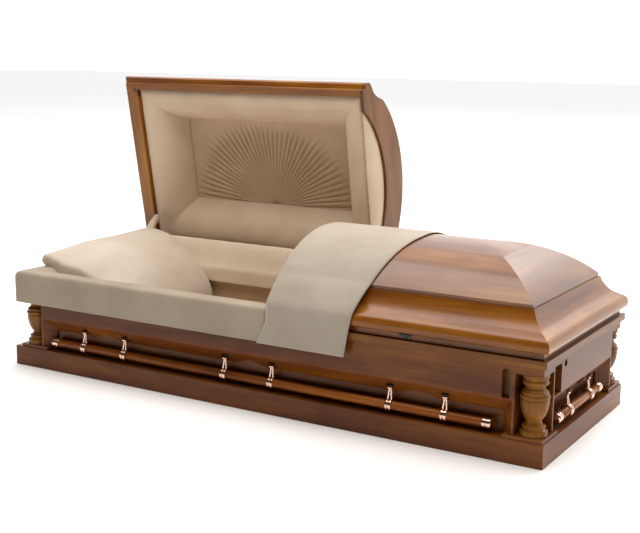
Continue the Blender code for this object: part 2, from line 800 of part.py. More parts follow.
# The pillow is a thick cushion that leans from the rim of the head end down to the mattress.
PILLOW_HALF_WIDTH = 0.262
PILLOW_ROUNDING = 0.026
pillow_side = [
    (-1.040, 0.372),
    (-1.042, 0.405),
    (-1.010, 0.432),
    (-0.930, 0.450),
    (-0.840, 0.446),
    (-0.750, 0.412),
    (-0.665, 0.352),
    (-0.600, 0.280),
    (-0.570, 0.215),
    (-0.590, 0.178),
    (-0.640, 0.176),
    (-0.930, 0.370),
]
pillow_outline = [(x, -PILLOW_HALF_WIDTH, z) for x, z in pillow_side]
pillow_mesh = prism("pillow", pillow_outline, (0, 0, 0), (0, 2 * PILLOW_HALF_WIDTH, 0))
pillow_shape = bmesh.new()
pillow_shape.from_mesh(pillow_mesh)
rims = [e for e in pillow_shape.edges if abs(e.verts[0].co.y - e.verts[1].co.y) < 0.001]
bmesh.ops.bevel(
    pillow_shape, geom=rims, offset=PILLOW_ROUNDING, segments=2, profile=0.5, affect="EDGES"
)
pillow_mesh = mesh_of(pillow_shape, "pillow")
smooth(pillow_mesh, 50)
place("pillow", pillow_mesh, CREAM_CLOTH)


def rim_cloth_path(side_inset, end_inset):
    """Along the front from the lid's cut, round the head end, to short of the hinge side."""
    head = end_inset - REACH[-1]
    y = HALF_WIDTH - side_inset
    return [(LID_CUT + 0.0005, -y), (head, -y), (head, HALF_WIDTH - 0.075)]


rim_section = [
    (-CLOTH_OUT, CLOTH_HEM),
    (-CLOTH_OUT, CLOTH_TOP - 0.016),
    (-CLOTH_OUT + 0.005, CLOTH_TOP - 0.005),
    (-CLOTH_OUT + 0.018, CLOTH_TOP),
    (0.060, CLOTH_TOP - 0.002),
    (0.088, CLOTH_TOP - 0.016),
    (0.102, LEDGE_TOP + 0.001),
    (-CLOTH_OUT + CLOTH_THICKNESS, LEDGE_TOP + 0.001),
    (-CLOTH_OUT + CLOTH_THICKNESS, CLOTH_HEM),
]
rim_cloth = swept("rim_cloth", even(rim_section), rim_cloth_path, False)
place("rim_cloth", rim_cloth, CREAM_CLOTH)

# The hinge cover is a padded strip between the case and the open lid.
hinge_section = [
    (0.0, 0.345, LEDGE_TOP + 0.001),
    (0.0, 0.348, LEDGE_TOP + 0.070),
    (0.0, 0.338, LEDGE_TOP + 0.100),
    (0.0, 0.318, LEDGE_TOP + 0.102),
    (0.0, 0.296, LEDGE_TOP + 0.082),
    (0.0, 0.280, LEDGE_TOP + 0.050),
    (0.0, 0.276, LEDGE_TOP + 0.001),
]
hinge_start = 0.116 - REACH[-1]
hinge_length = LID_CUT - 0.005 - hinge_start
hinge_cover = prism("hinge_cover", hinge_section, (hinge_start, 0, 0), (hinge_length, 0, 0))
place("hinge_cover", hinge_cover, CREAM_CLOTH)


def turned_x(name, profile, sides):
    """A solid turned about local X from (position along X, radius) pairs."""
    shape = bmesh.new()
    rings = []
    for along, radius in profile:
        ring = []
        for k in range(sides):
            angle = 2 * math.pi * (k + 0.5) / sides
            ring.append(shape.verts.new((along, radius * math.cos(angle), radius * math.sin(angle))))
        rings.append(ring)
    for here, there in zip(rings, rings[1:]):
        for k in range(sides):
            n = (k + 1) % sides
            shape.faces.new((here[k], here[n], there[n], there[k]))
    shape.faces.new(rings[0])
    shape.faces.new(rings[-1])
    return mesh_of(shape, name)


def arm_mesh():
    """A cast arm: an eye on the hinge axis, a slotted stem, and a collar around the bar."""
    drop = BAR_HEIGHT - HANDLE_AXIS_HEIGHT
    reach = BAR_INSET - HANDLE_AXIS_INSET
    collar_outer = turned_x("collar", [(-COLLAR_LENGTH / 2, COLLAR_RADIUS), (COLLAR_LENGTH / 2, COLLAR_RADIUS)], 12)
    collar_outer.transform(Matrix.Translation((0.0, reach, drop)))
    bore_radius = BAR_RADIUS + GAP
    bore = turned_x("bore", [(-0.03, bore_radius), (0.03, bore_radius)], 12)
    bore.transform(Matrix.Translation((0.0, reach, drop)))
    eye = turned_x("eye", [(-EYE_LENGTH / 2, EYE_RADIUS), (EYE_LENGTH / 2, EYE_RADIUS)], 8)
    top = -EYE_RADIUS * 0.4
    bottom = drop + COLLAR_RADIUS - 0.004
    outline = [(-0.005, 0, top), (0.005, 0, top), (0.0095, 0, bottom), (-0.0095, 0, bottom)]
    stem = prism("stem", outline, (0.0, -0.001, 0.0), (0.0, 0.007, 0.0))
    slot_outline = [(-0.0012, 0, top - 0.012), (0.0012, 0, top - 0.012)]
    slot_outline += [(0.0042, 0, bottom + 0.007), (-0.0042, 0, bottom + 0.007)]
    slot = prism("slot", slot_outline, (0.0, -0.01, 0.0), (0.0, 0.03, 0.0))
    whole = place("arm_collar", collar_outer, None)
    for name, mesh, operation in (
        ("eye", eye, "UNION"),
        ("stem", stem, "UNION"),
        ("slot", slot, "DIFFERENCE"),
        ("bore", bore, "DIFFERENCE"),
    ):
        joined(whole, name, place(f"arm_{name}", mesh, None, cutters), operation)
    finished = baked(whole)
    smooth(finished, 35)
    return finished


ARM = arm_mesh()
TIP_PROFILE = [
    (0.0, TIP_RADIUS * 0.93),
    (0.002, TIP_RADIUS),
    (0.010, TIP_RADIUS),
    (0.0115, TIP_RADIUS * 0.90),
    (0.0145, TIP_RADIUS * 0.90),
    (0.016, TIP_RADIUS),
    (TIP_LENGTH - 0.006, TIP_RADIUS),
    (TIP_LENGTH, TIP_RADIUS * 0.72),
]


def handle(name, half, arms, across, turn):
    """A wooden bar with metal tips, hung on arms from an axis along local X."""
    axis = bpy.data.objects.new(f"{name}_axis", None)
    casket.objects.link(axis)
    axis.rotation_euler.z = turn
    axis.location = Matrix.Rotation(turn, 4, "Z") @ Vector(
        (0.0, -across + HANDLE_AXIS_INSET, HANDLE_AXIS_HEIGHT)
    )
    reach = BAR_INSET - HANDLE_AXIS_INSET
    drop = BAR_HEIGHT - HANDLE_AXIS_HEIGHT
    end = half - TIP_LENGTH - GAP
    bar = place(f"{name}_bar", turned_x(f"{name}_bar", [(-end, BAR_RADIUS), (end, BAR_RADIUS)], 12), LID_WOOD)
    smooth(bar.data, 35)
    pieces = [bar]
    for side, word in ((-1, "left"), (1, "right")):
        tip = turned_x(f"{name}_tip_{word}", TIP_PROFILE, 12)
        tip.transform(Matrix.Translation((half - TIP_LENGTH, 0.0, 0.0)))
        if side < 0:
            tip.transform(Matrix.Rotation(math.pi, 4, "Z"))
        smooth(tip, 35)
        pieces.append(place(tip.name, tip, ROSE_METAL))
    for piece in pieces:
        piece.location = (0.0, reach, drop)
        piece.parent = axis
    places = sorted([-a for a in arms] + list(arms))
    for k, along in enumerate(places, 1):
        arm = place(f"{name}_arm_{k}", ARM, ROSE_METAL)
        arm.location = (along, 0.0, 0.0)
        arm.parent = axis


handle("front_handle", SIDE_BAR_HALF, SIDE_ARMS, HALF_WIDTH, 0.0)
handle("back_handle", SIDE_BAR_HALF, SIDE_ARMS, HALF_WIDTH, math.pi)
handle("foot_handle", END_BAR_HALF, END_ARMS, foot, math.pi / 2)
handle("head_handle", END_BAR_HALF, END_ARMS, head, -math.pi / 2)
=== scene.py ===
import math

import bmesh
import bpy
from mathutils import Matrix, Vector, noise


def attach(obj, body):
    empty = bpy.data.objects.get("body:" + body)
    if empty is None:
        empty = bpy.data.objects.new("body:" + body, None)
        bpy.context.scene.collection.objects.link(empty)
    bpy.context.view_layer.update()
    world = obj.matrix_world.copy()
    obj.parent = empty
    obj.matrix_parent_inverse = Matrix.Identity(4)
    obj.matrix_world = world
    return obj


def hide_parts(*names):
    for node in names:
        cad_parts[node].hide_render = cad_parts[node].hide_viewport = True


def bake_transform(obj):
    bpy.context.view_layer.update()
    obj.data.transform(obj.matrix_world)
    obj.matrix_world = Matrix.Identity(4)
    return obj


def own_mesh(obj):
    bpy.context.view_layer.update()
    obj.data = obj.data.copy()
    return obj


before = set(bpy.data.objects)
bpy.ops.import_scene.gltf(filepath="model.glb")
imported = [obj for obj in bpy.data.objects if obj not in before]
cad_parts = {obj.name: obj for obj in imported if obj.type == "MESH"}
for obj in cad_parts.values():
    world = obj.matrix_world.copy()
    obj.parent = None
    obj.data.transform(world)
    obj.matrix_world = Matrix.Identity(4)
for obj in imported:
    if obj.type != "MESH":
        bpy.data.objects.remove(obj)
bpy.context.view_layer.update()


# Studio
# The casket stands on a plain white floor, as for a catalogue picture. The room is bright overhead
# and at the back, and dim in front. One soft box hangs over the casket and one far behind it.
def linear(code):
    """An sRGB hex colour as linear RGBA."""
    parts = [int(code[k:k + 2], 16) / 255 for k in (1, 3, 5)]
    return (*(p / 12.92 if p <= 0.04045 else ((p + 0.055) / 1.055) ** 2.4 for p in parts), 1.0)


def add(tree, kind, inputs=(), stops=(), **settings):
    """Add a node with its settings, and feed its sockets with values or from other nodes."""
    made = tree.nodes.new("ShaderNode" + kind)
    for name, value in settings.items():
        setattr(made, name, value)
    for name, value in dict(inputs).items():
        if isinstance(value, bpy.types.NodeSocket):
            tree.links.new(value, made.inputs[name])
        else:
            made.inputs[name].default_value = value
    for k, (position, colour) in enumerate(stops):
        points = made.color_ramp.elements
        point = points[k] if k < 2 else points.new(position)
        point.position = position
        point.color = linear(colour)
    return made


def empty_material(name):
    """A new material without any nodes, and its node tree."""
    made = bpy.data.materials.new(name)
    made.use_nodes = True
    made.node_tree.nodes.clear()
    return made, made.node_tree


def painted_floor():
    """Matt white floor paint, with the faint mottling of a roller."""
    made, tree = empty_material("matt_white_floor")
    mottle = add(tree, "TexNoise", {"Scale": 1.5, "Detail": 2.0})
    tone = add(tree, "ValToRGB", {"Fac": mottle.outputs["Fac"]}, [(0.0, "#f6f6f6"), (1.0, "#fafafa")])
    shader = add(tree, "BsdfPrincipled", {"Base Color": tone.outputs["Color"], "Roughness": 0.7})
    add(tree, "OutputMaterial", {"Surface": shader.outputs["BSDF"]})
    return made


FLOOR_REACH = 40.0
UNDER_BASE = 0.0004
floor_shape = bmesh.new()
bmesh.ops.create_grid(floor_shape, x_segments=8, y_segments=8, size=FLOOR_REACH)
floor_mesh = bpy.data.meshes.new("studio_floor")
floor_shape.to_mesh(floor_mesh)
floor_shape.free()
floor_mesh.materials.append(painted_floor())
floor = bpy.data.objects.new("studio_floor", floor_mesh)
bpy.context.scene.collection.objects.link(floor)
floor.location.z = -UNDER_BASE

room = bpy.data.worlds.new("white_room")
room.use_nodes = True
room.node_tree.nodes.clear()
room_tree = room.node_tree
BRIGHTEST_WAY = (0.0, 0.40, 0.92)
direction = add(room_tree, "TexCoord").outputs["Generated"]
backward = add(room_tree, "SeparateXYZ", {"Vector": direction}).outputs["Y"]
facing_bright = {0: direction, 1: BRIGHTEST_WAY}
upward = add(room_tree, "VectorMath", facing_bright, operation="DOT_PRODUCT").outputs["Value"]
overhead = add(room_tree, "MapRange", {"Value": upward, "From Min": 0.45, "From Max": 0.90})
far_wall = {"Value": backward, "From Min": 0.56, "From Max": 0.66, "To Max": 0.84}
behind = add(room_tree, "MapRange", far_wall)
both = {0: overhead.outputs["Result"], 1: behind.outputs["Result"]}
brightness = add(room_tree, "Math", both, operation="MAXIMUM").outputs[0]
room_tone = add(room_tree, "ValToRGB", {"Fac": brightness}, [(0.0, "#33312f"), (1.0, "#ffffff")])
backing = add(room_tree, "Background", {"Color": room_tone.outputs["Color"], "Strength": 1.75})
add(room_tree, "OutputWorld", {"Surface": backing.outputs["Background"]})
bpy.context.scene.world = room


def soft_light(name, place, aim, size, power, colour):
    """A rectangular soft box that faces a point."""
    lamp = bpy.data.lights.new(name, "AREA")
    lamp.shape = "RECTANGLE"
    lamp.size, lamp.size_y = size
    lamp.energy = power
    lamp.color = linear(colour)[:3]
    thing = bpy.data.objects.new(name, lamp)
    bpy.context.scene.collection.objects.link(thing)
    facing = (Vector(aim) - Vector(place)).to_track_quat("-Z", "Y")
    thing.matrix_world = Matrix.Translation(place) @ facing.to_matrix().to_4x4()
    return thing


soft_light("over_light", (-0.2, -0.5, 3.4), (0.0, 0.1, 0.2), (4.2, 2.0), 95.0, "#fff6ee")
soft_light("back_light", (1.5, 11.0, 10.0), (0.0, 0.0, 0.2), (5.0, 5.0), 1200.0, "#fffaf4")

CAMERA_PLACE = (2.1507, -3.4796, 1.2101)
PICTURE_WIDTH, FOCAL_PIXELS, SHIFT_PIXELS, SENSOR_MM = 640, 1152.4308, (4.1007, 6.6969), 36.0
yaw, pitch, roll = 0.5432, -0.1929, 0.0105
ahead = Vector((-math.sin(yaw) * math.cos(pitch), math.cos(yaw) * math.cos(pitch), math.sin(pitch)))
level_right = Vector((math.cos(yaw), math.sin(yaw), 0.0))
level_up = level_right.cross(ahead)
camera_right = level_right * math.cos(roll) + level_up * math.sin(roll)
camera_up = level_up * math.cos(roll) - level_right * math.sin(roll)
camera_turn = Matrix((camera_right, camera_up, -ahead)).transposed().to_4x4()
lens = bpy.data.cameras.new("picture_camera")
lens.sensor_fit = "HORIZONTAL"
lens.sensor_width = SENSOR_MM
lens.lens = SENSOR_MM * FOCAL_PIXELS / PICTURE_WIDTH
lens.shift_x, lens.shift_y = (pixels / PICTURE_WIDTH for pixels in SHIFT_PIXELS)
camera = bpy.data.objects.new("picture_camera", lens)
bpy.context.scene.collection.objects.link(camera)
camera.matrix_world = Matrix.Translation(CAMERA_PLACE) @ camera_turn
bpy.context.scene.camera = camera
bpy.context.scene.view_settings.view_transform = "Standard"


# Base
# A mitred plinth of stained hardwood boards, glued up with a flat flange that carries the case,
# and a low pad at each corner. It is sanded, stained and sprayed with satin lacquer.
BASE_HALF = (1.065, 0.385)
HEAD_EDGE, FOOT_EDGE = -1.041, 1.065


def satin_lacquered_hardwood(
    name, run, tones, seed, mitres=(), shut=None, edge=0.0012, gloss=0.12, arris=None
):
    """Stained hardwood under satin lacquer: amber streaks, fine dark grain and a soft coat.

    The grain runs along one axis, or along each board of a frame whose mitres start at
    the given ends. Streaks are 30 to 60 mm wide and half a metre long, and the stain is
    cloudy over 100 mm and more. The fine grain is 3 mm wide, which is coarser than real
    pores, so that it shows. A red-brown line runs along an arris at a given height.
    """
    made, tree = empty_material(name)
    place = add(tree, "TexCoord").outputs["Object"]
    if shut:
        turned_back = {"Vector": place, "Location": shut[0], "Rotation": shut[1]}
        place = add(tree, "Mapping", turned_back).outputs["Vector"]
    x, y, z = add(tree, "SeparateXYZ", {"Vector": place}).outputs
    along, across, other = {"x": (x, y, z), "y": (y, x, z), "z": (z, x, y)}.get(run, (x, y, z))
    if mitres:
        nearest = None
        for end in mitres:
            gone = add(tree, "Math", {0: x, 1: end}, operation="SUBTRACT").outputs[0]
            gone = add(tree, "Math", {0: gone}, operation="ABSOLUTE").outputs[0]
            if nearest is not None:
                gone = add(tree, "Math", {0: nearest, 1: gone}, operation="MINIMUM").outputs[0]
            nearest = gone
        middle = add(tree, "Math", {0: y}, operation="ABSOLUTE").outputs[0]
        side = add(tree, "Math", {0: BASE_HALF[1], 1: middle}, operation="SUBTRACT").outputs[0]
        on_end = add(tree, "Math", {0: nearest, 1: side}, operation="LESS_THAN").outputs[0]
        along = add(tree, "Mix", {0: on_end, 2: x, 3: y}).outputs[0]
        across = add(tree, "Mix", {0: on_end, 2: y, 3: x}).outputs[0]
    lengthwise = add(tree, "Math", {0: along, 1: seed}, operation="ADD").outputs[0]
    grain = add(tree, "CombineXYZ", {0: lengthwise, 1: across, 2: other}).outputs[0]

    def noise_along(scale, detail, wander):
        stretched = add(tree, "Mapping", {"Vector": grain, "Scale": scale}).outputs["Vector"]
        settings = {"Vector": stretched, "Scale": 1.0, "Detail": detail, "Distortion": wander}
        return add(tree, "TexNoise", settings).outputs["Fac"]

    streaks = noise_along((1.0, 12.0, 12.0), 3.0, 0.5)
    figure = noise_along((3.5, 70.0, 70.0), 3.0, 0.4)
    fibres = noise_along((9.0, 330.0, 330.0), 2.0, 0.0)
    clouds = noise_along((2.4, 8.0, 8.0), 2.0, 0.8)
    stain = add(tree, "ValToRGB", {"Fac": streaks}, tones).outputs["Color"]
    for pattern, low, dark, high in (
        (figure, 0.34, "#ebe2d8", 0.60),
        (fibres, 0.36, "#ede6dd", 0.52),
        (clouds, 0.34, "#dcd0c4", 0.60),
    ):
        shade = add(tree, "ValToRGB", {"Fac": pattern}, [(low, dark), (high, "#ffffff")]).outputs["Color"]
        darkened = {0: 1.0, 6: stain, 7: shade}
        stain = add(tree, "Mix", darkened, data_type="RGBA", blend_type="MULTIPLY").outputs[2]
    if arris:
        off = add(tree, "Math", {0: z, 1: arris}, operation="SUBTRACT").outputs[0]
        off = add(tree, "Math", {0: off}, operation="ABSOLUTE").outputs[0]
        line = add(tree, "MapRange", {"Value": off, "From Max": 0.0034, "To Min": 0.75, "To Max": 0.0})
        red = {0: line.outputs["Result"], 6: stain, 7: linear("#8a3c1c")}
        stain = add(tree, "Mix", red, data_type="RGBA").outputs[2]
    satin = add(tree, "MapRange", {"Value": fibres, "To Min": 0.30, "To Max": 0.42}).outputs["Result"]
    rounded = add(tree, "Bevel", {"Radius": edge}, samples=4).outputs["Normal"]
    relief = {"Height": fibres, "Strength": 0.06, "Distance": 0.0004, "Normal": rounded}
    surface = add(tree, "Bump", relief).outputs["Normal"]
    shader = add(
        tree,
        "BsdfPrincipled",
        {
            "Base Color": stain,
            "Roughness": satin,
            "IOR": 1.45,
            "Specular IOR Level": 0.24,
            "Normal": surface,
            "Coat Weight": gloss,
            "Coat Roughness": 0.16,
            "Coat IOR": 1.5,
            "Coat Normal": rounded,
        },
    )
    add(tree, "OutputMaterial", {"Surface": shader.outputs["BSDF"]})
    return made


# Painted light: these stain tones are set brighter than the wood's own, to make up for the shade on the
# case's upright faces.
CASE_TONES = [(0.28, "#60340e"), (0.44, "#723f12"), (0.58, "#814b17"), (0.72, "#93591d")]


def finish_node(material, *nodes):
    """Give CAD nodes a better material in each of their slots."""
    for node in nodes:
        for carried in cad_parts[node].material_slots:
            carried.material = material


base_wood = satin_lacquered_hardwood(
    "base_stained_hardwood", "frame", CASE_TONES, 3.1, mitres=(-BASE_HALF[0], BASE_HALF[0])
)
finish_node(base_wood, "base_frame")
board_tones = [(0.2, "#6e5338"), (0.8, "#8a6c4c")]
bottom_wood = satin_lacquered_hardwood("bottom_board_wood", "x", board_tones, 8.2)
finish_node(bottom_wood, "bottom_board")


# Sides, ends and corner posts
# Thick hardwood boards, mitred at the corners. A canted moulding and a deep panel are milled
# below a red-brown arris, and a plain post fills the case behind each urn.
ARRIS_Z = 0.1925
side_wood = satin_lacquered_hardwood("side_stained_hardwood", "x", CASE_TONES, 0.7, arris=ARRIS_Z)
end_wood = satin_lacquered_hardwood("end_stained_hardwood", "y", CASE_TONES, 5.4, arris=ARRIS_Z)
post_wood = satin_lacquered_hardwood("post_stained_hardwood", "z", CASE_TONES, 2.6)
finish_node(side_wood, "front_side", "back_side")
finish_node(end_wood, "foot_end", "head_end")
CORNERS = {"front_foot": (1, -1), "back_foot": (1, 1), "back_head": (-1, 1), "front_head": (-1, -1)}
finish_node(post_wood, *(f"corner_post_{corner}" for corner in CORNERS))


# Corner urns
# Four urns turned from one blank each, standing on the base's pads under the ledge: cap, bead,
# ringed shoulder, tapering bowl, slim neck and stepped foot.
def grid(name, rows, ring=False, loop=False, caps=False, crease=None):
    """A mesh over rows of points. ring joins each row's two ends, and loop the last row to the first."""
    shape = bmesh.new()
    lines = [[shape.verts.new(point) for point in row] for row in rows]
    pairs = list(zip(lines, lines[1:]))
    if loop:
        pairs.append((lines[-1], lines[0]))
    for here, there in pairs:
        count = len(here)
        for k in range(count if ring else count - 1):
            n = (k + 1) % count
            shape.faces.new((here[k], here[n], there[n], there[k]))
    if caps == "rows":
        shape.faces.new(lines[0])
        shape.faces.new(lines[-1])
    if caps == "ends":
        shape.faces.new([line[0] for line in lines])
        shape.faces.new([line[-1] for line in lines])
    bmesh.ops.recalc_face_normals(shape, faces=shape.faces[:])
    mesh = bpy.data.meshes.new(name)
    shape.to_mesh(mesh)
    shape.free()
    mesh.shade_smooth()
    if crease:
        mesh.set_sharp_from_angle(angle=math.radians(crease))
    return mesh


def flowing(points, steps, closed=False):
    """A smooth curve through points of any dimension."""
    points = [Vector(p) for p in points]
    count = len(points)
    found = []
    for k in range(count if closed else count - 1):
        if closed:
            a, b, c, d = (points[(k + n) % count] for n in (-1, 0, 1, 2))
        else:
            a, b, c, d = (points[min(max(k + n, 0), count - 1)] for n in (-1, 0, 1, 2))
        for step in range(steps):
            t = step / steps
            bend = (2 * a - 5 * b + 4 * c - d) * t * t + (3 * b - a - 3 * c + d) * t**3
            found.append(b + ((c - a) * t + bend) / 2)
    if not closed:
        found.append(points[-1])
    return found


def turned(name, profile, sides, upright=False, crease=38):
    """A piece turned from (length, radius) pairs about X, or about Z where it is upright."""
    rows = []
    for along, radius in profile:
        row = []
        for k in range(sides):
            angle = 2 * math.pi * k / sides
            a, b = radius * math.cos(angle), radius * math.sin(angle)
            row.append((a, b, along) if upright else (along, a, b))
        rows.append(row)
    return grid(name, rows, ring=True, caps="rows", crease=crease)


def fitted(name, mesh, material, body, stands_for=(), place=None):
    """Put a piece in the scene, on its body, in place of its CAD nodes."""
    if place is not None:
        mesh.transform(place)
    mesh.materials.clear()
    mesh.materials.append(material)
    thing = bpy.data.objects.new(name, mesh)
    bpy.context.scene.collection.objects.link(thing)
    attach(thing, body)
    if stands_for:
        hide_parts(*stands_for)
    return thing


URN_RADIUS, URN_FOOT, URN_TOP, URN_INSET = 0.0455, 0.0863, 0.2757, 0.0515
urn_height = URN_TOP - URN_FOOT
urn_shares = [(0.000, 0.895), (0.006, 0.92), (0.082, 0.92), (0.092, 0.90), (0.098, 0.80)]
urn_shares += [tuple(p) for p in flowing([(0.104, 0.76), (0.130, 0.74), (0.160, 0.80), (0.172, 0.74)], 5)]
urn_shares += [tuple(p) for p in flowing([(0.178, 0.64), (0.205, 0.56), (0.235, 0.53), (0.265, 0.55)], 5)]
bowl = [(0.272, 0.60), (0.320, 0.72), (0.400, 0.85), (0.490, 0.935), (0.570, 0.955), (0.605, 0.93)]
urn_shares += [tuple(p) for p in flowing(bowl, 6)]
urn_shares += [(0.612, 0.985), (0.620, 1.0), (0.655, 1.0), (0.664, 0.985), (0.668, 0.905)]
urn_shares += [(0.690, 0.90), (0.715, 0.90)]
neck = [(0.722, 0.86), (0.745, 0.74), (0.775, 0.665), (0.805, 0.66), (0.822, 0.70)]
urn_shares += [tuple(p) for p in flowing(neck, 5)]
bead = [(0.828, 0.80), (0.845, 0.855), (0.870, 0.87), (0.895, 0.855), (0.910, 0.80)]
urn_shares += [tuple(p) for p in flowing(bead, 5)]
urn_shares += [(0.916, 0.80), (0.934, 0.80), (0.942, 0.875), (0.948, 0.90), (0.994, 0.90), (1.0, 0.88)]
urn_profile = [(urn_height * t, URN_RADIUS * r) for t, r in urn_shares]
URN_TONES = [(0.28, "#5f3807"), (0.45, "#7d4e0c"), (0.58, "#925e12"), (0.72, "#a7751c")]
urn_wood = satin_lacquered_hardwood("urn_turned_hardwood", "z", URN_TONES, 6.3, edge=0.0006)
for corner, (sx, sy) in CORNERS.items():
    edge_x = FOOT_EDGE if sx > 0 else HEAD_EDGE
    foot_point = (edge_x - sx * URN_INSET, sy * (BASE_HALF[1] - URN_INSET), URN_FOOT)
    fitted(
        f"turned_urn_{corner}",
        turned(f"turned_urn_{corner}", urn_profile, 64, upright=True),
        urn_wood,
        "case",
        [f"urn_{corner}"],
        Matrix.Translation(foot_point),
    )


# Ledge
# A flat mitred moulding that caps the case and stands a little proud of it. The lids close on it.
LEDGE_TONES = [(0.28, "#63380e"), (0.46, "#764613"), (0.60, "#855417"), (0.74, "#96641f")]
ledge_wood = satin_lacquered_hardwood(
    "ledge_stained_hardwood", "frame", LEDGE_TONES, 9.3, mitres=(HEAD_EDGE, FOOT_EDGE), edge=0.002
)
finish_node(ledge_wood, "ledge")


# Lids
# Each lid is a mitred frame with a fascia, a bullnose and an ogee, a barrel crown with a hipped
# end on top of it, and an arched header board that closes its cut end. The head lid stands open.
LID_BOTTOM = 0.3266
OPEN_ANGLE = math.radians(79.4)
HINGE = Vector((0.0, 0.378, 0.3251))
opened = Matrix.Translation(HINGE) @ Matrix.Rotation(-OPEN_ANGLE, 4, "X") @ Matrix.Translation(-HINGE)
turn_back = Matrix.Rotation(OPEN_ANGLE, 4, "X")
shut_shift = HINGE - turn_back @ HINGE
SHUT = (tuple(shut_shift), (OPEN_ANGLE, 0.0, 0.0))
CROWN_INSET = 0.0795
CROWN_Z, CROWN_RISE, CROWN_THICKNESS, SEAT_Z = 0.4721, 0.124, 0.012, 0.4606
CROWN_HALF = BASE_HALF[1] - CROWN_INSET
CROWN_RADIUS = (CROWN_HALF**2 + CROWN_RISE**2) / (2 * CROWN_RISE)
CROWN_CENTRE = CROWN_Z + CROWN_RISE - CROWN_RADIUS
CROWN_ANGLE = math.asin(CROWN_HALF / CROWN_RADIUS)
fascia = [(0.0165, 0.0), (0.0165, 0.0175), (0.0155, 0.0188), (0.0125, 0.0195)]
bullnose = [(-0.0017, 0.0250), (-0.0042, 0.0330), (-0.0045, 0.0420), (-0.0015, 0.0530), (0.0060, 0.0620)]
ogee = [(0.0247, 0.0725), (0.0412, 0.0825), (0.0552, 0.0975), (0.0666, 0.1155), (0.0740, 0.1340)]
lid_moulding = fascia + [tuple(p) for p in flowing(bullnose + ogee, 6)]
LID_TONES = [(0.28, "#6a3b08"), (0.44, "#89500f"), (0.58, "#9c6315"), (0.74, "#b47b21")]
CROWN_TONES = [(0.28, "#6f4321"), (0.44, "#7f5128"), (0.58, "#8d5d30"), (0.74, "#9c6e3d")]


def lid_frame_rows(cut, end_x, sign):
    """The frame's section carried from the cut, round one end of the lid, back to the cut."""
    seat = CROWN_INSET + 0.018
    section = [(inset, inset, LID_BOTTOM + rise) for inset, rise in lid_moulding]
    section += [(seat, seat, SEAT_Z), (seat, seat, SEAT_Z - 0.012), (0.062, 0.071, LID_BOTTOM + 0.074)]
    section += [(0.0405, 0.071, LID_BOTTOM + 0.056), (0.0405, 0.071, LID_BOTTOM)]
    rows = []
    for side_inset, end_inset, z in section:
        x, y = end_x - sign * end_inset, BASE_HALF[1] - side_inset
        rows.append([(cut, -y, z), (x, -y, z), (x, y, z), (cut, y, z)])
    return rows


def crown_arc(radius, steps):
    """Points (y, z) of the crown's arc from the eave to the ridge."""
    angles = [CROWN_ANGLE * (1.0 - k / steps) for k in range(steps + 1)]
    return [(radius * math.sin(a), CROWN_CENTRE + radius * math.cos(a)) for a in angles]


def crown_shell(name, cut, end_x, sign):
    """A barrel shell whose hipped end has the same curve as its sides."""
    steps = 36
    outer = crown_arc(CROWN_RADIUS, steps)
    inner = crown_arc(CROWN_RADIUS - CROWN_THICKNESS, steps)
    seat = SEAT_Z + 0.0003
    section = [(CROWN_HALF, seat)] + outer + inner[::-1] + [(inner[0][0], seat)]
    apex = end_x - sign * (CROWN_INSET + CROWN_HALF)
    shape = bmesh.new()
    rows = []
    for reach, z in section:
        x = apex + sign * reach
        plan = [(cut, -reach), (x, -reach), (x, reach), (cut, reach)]
        rows.append([shape.verts.new((a, b, z)) for a, b in plan])
    ridge = steps + 1
    for k, (here, there) in enumerate(zip(rows, rows[1:] + rows[:1])):
        if k != ridge:
            for j in range(3):
                shape.faces.new((here[j], here[j + 1], there[j + 1], there[j]))
    for side in ([row[0] for row in rows], [row[3] for row in rows]):
        for k in range(ridge):
            mirror = len(rows) - 1 - k
            shape.faces.new((side[k], side[k + 1], side[mirror - 1], side[mirror]))
    bmesh.ops.remove_doubles(shape, verts=shape.verts[:], dist=0.00001)
    bmesh.ops.recalc_face_normals(shape, faces=shape.faces[:])
    mesh = bpy.data.meshes.new(name)
    shape.to_mesh(mesh)
    shape.free()
    mesh.shade_smooth()
    mesh.set_sharp_from_angle(angle=math.radians(24))
    return mesh


HEADER_ARCH_HALF, HEADER_ARCH_RISE = 0.286, 0.124
arch_radius = (HEADER_ARCH_HALF**2 + HEADER_ARCH_RISE**2) / (2 * HEADER_ARCH_RISE)
arch_centre = LID_BOTTOM + 0.010 + HEADER_ARCH_RISE - arch_radius
arch_reach = math.asin(HEADER_ARCH_HALF / arch_radius)


def header_board(name, low_x, high_x):
    """The arched board at a lid's cut end, cut to the lid's whole outline."""
    side = [(BASE_HALF[1] - inset, LID_BOTTOM + rise) for inset, rise in lid_moulding]
    side += [(CROWN_HALF + 0.004, SEAT_Z), (CROWN_HALF, SEAT_Z + 0.002)]
    side += crown_arc(CROWN_RADIUS, 36)
    outline = side + [(-y, z) for y, z in reversed(side[:-1])]
    outline.append((-HEADER_ARCH_HALF - 0.004, LID_BOTTOM))
    for k in range(41):
        angle = -arch_reach + 2 * arch_reach * k / 40
        outline.append((arch_radius * math.sin(angle), arch_centre + arch_radius * math.cos(angle)))
    outline.append((HEADER_ARCH_HALF + 0.004, LID_BOTTOM))
    rows = [[(x, y, z) for y, z in outline] for x in (low_x, high_x)]
    return grid(name, rows, ring=True, caps="rows", crease=24)


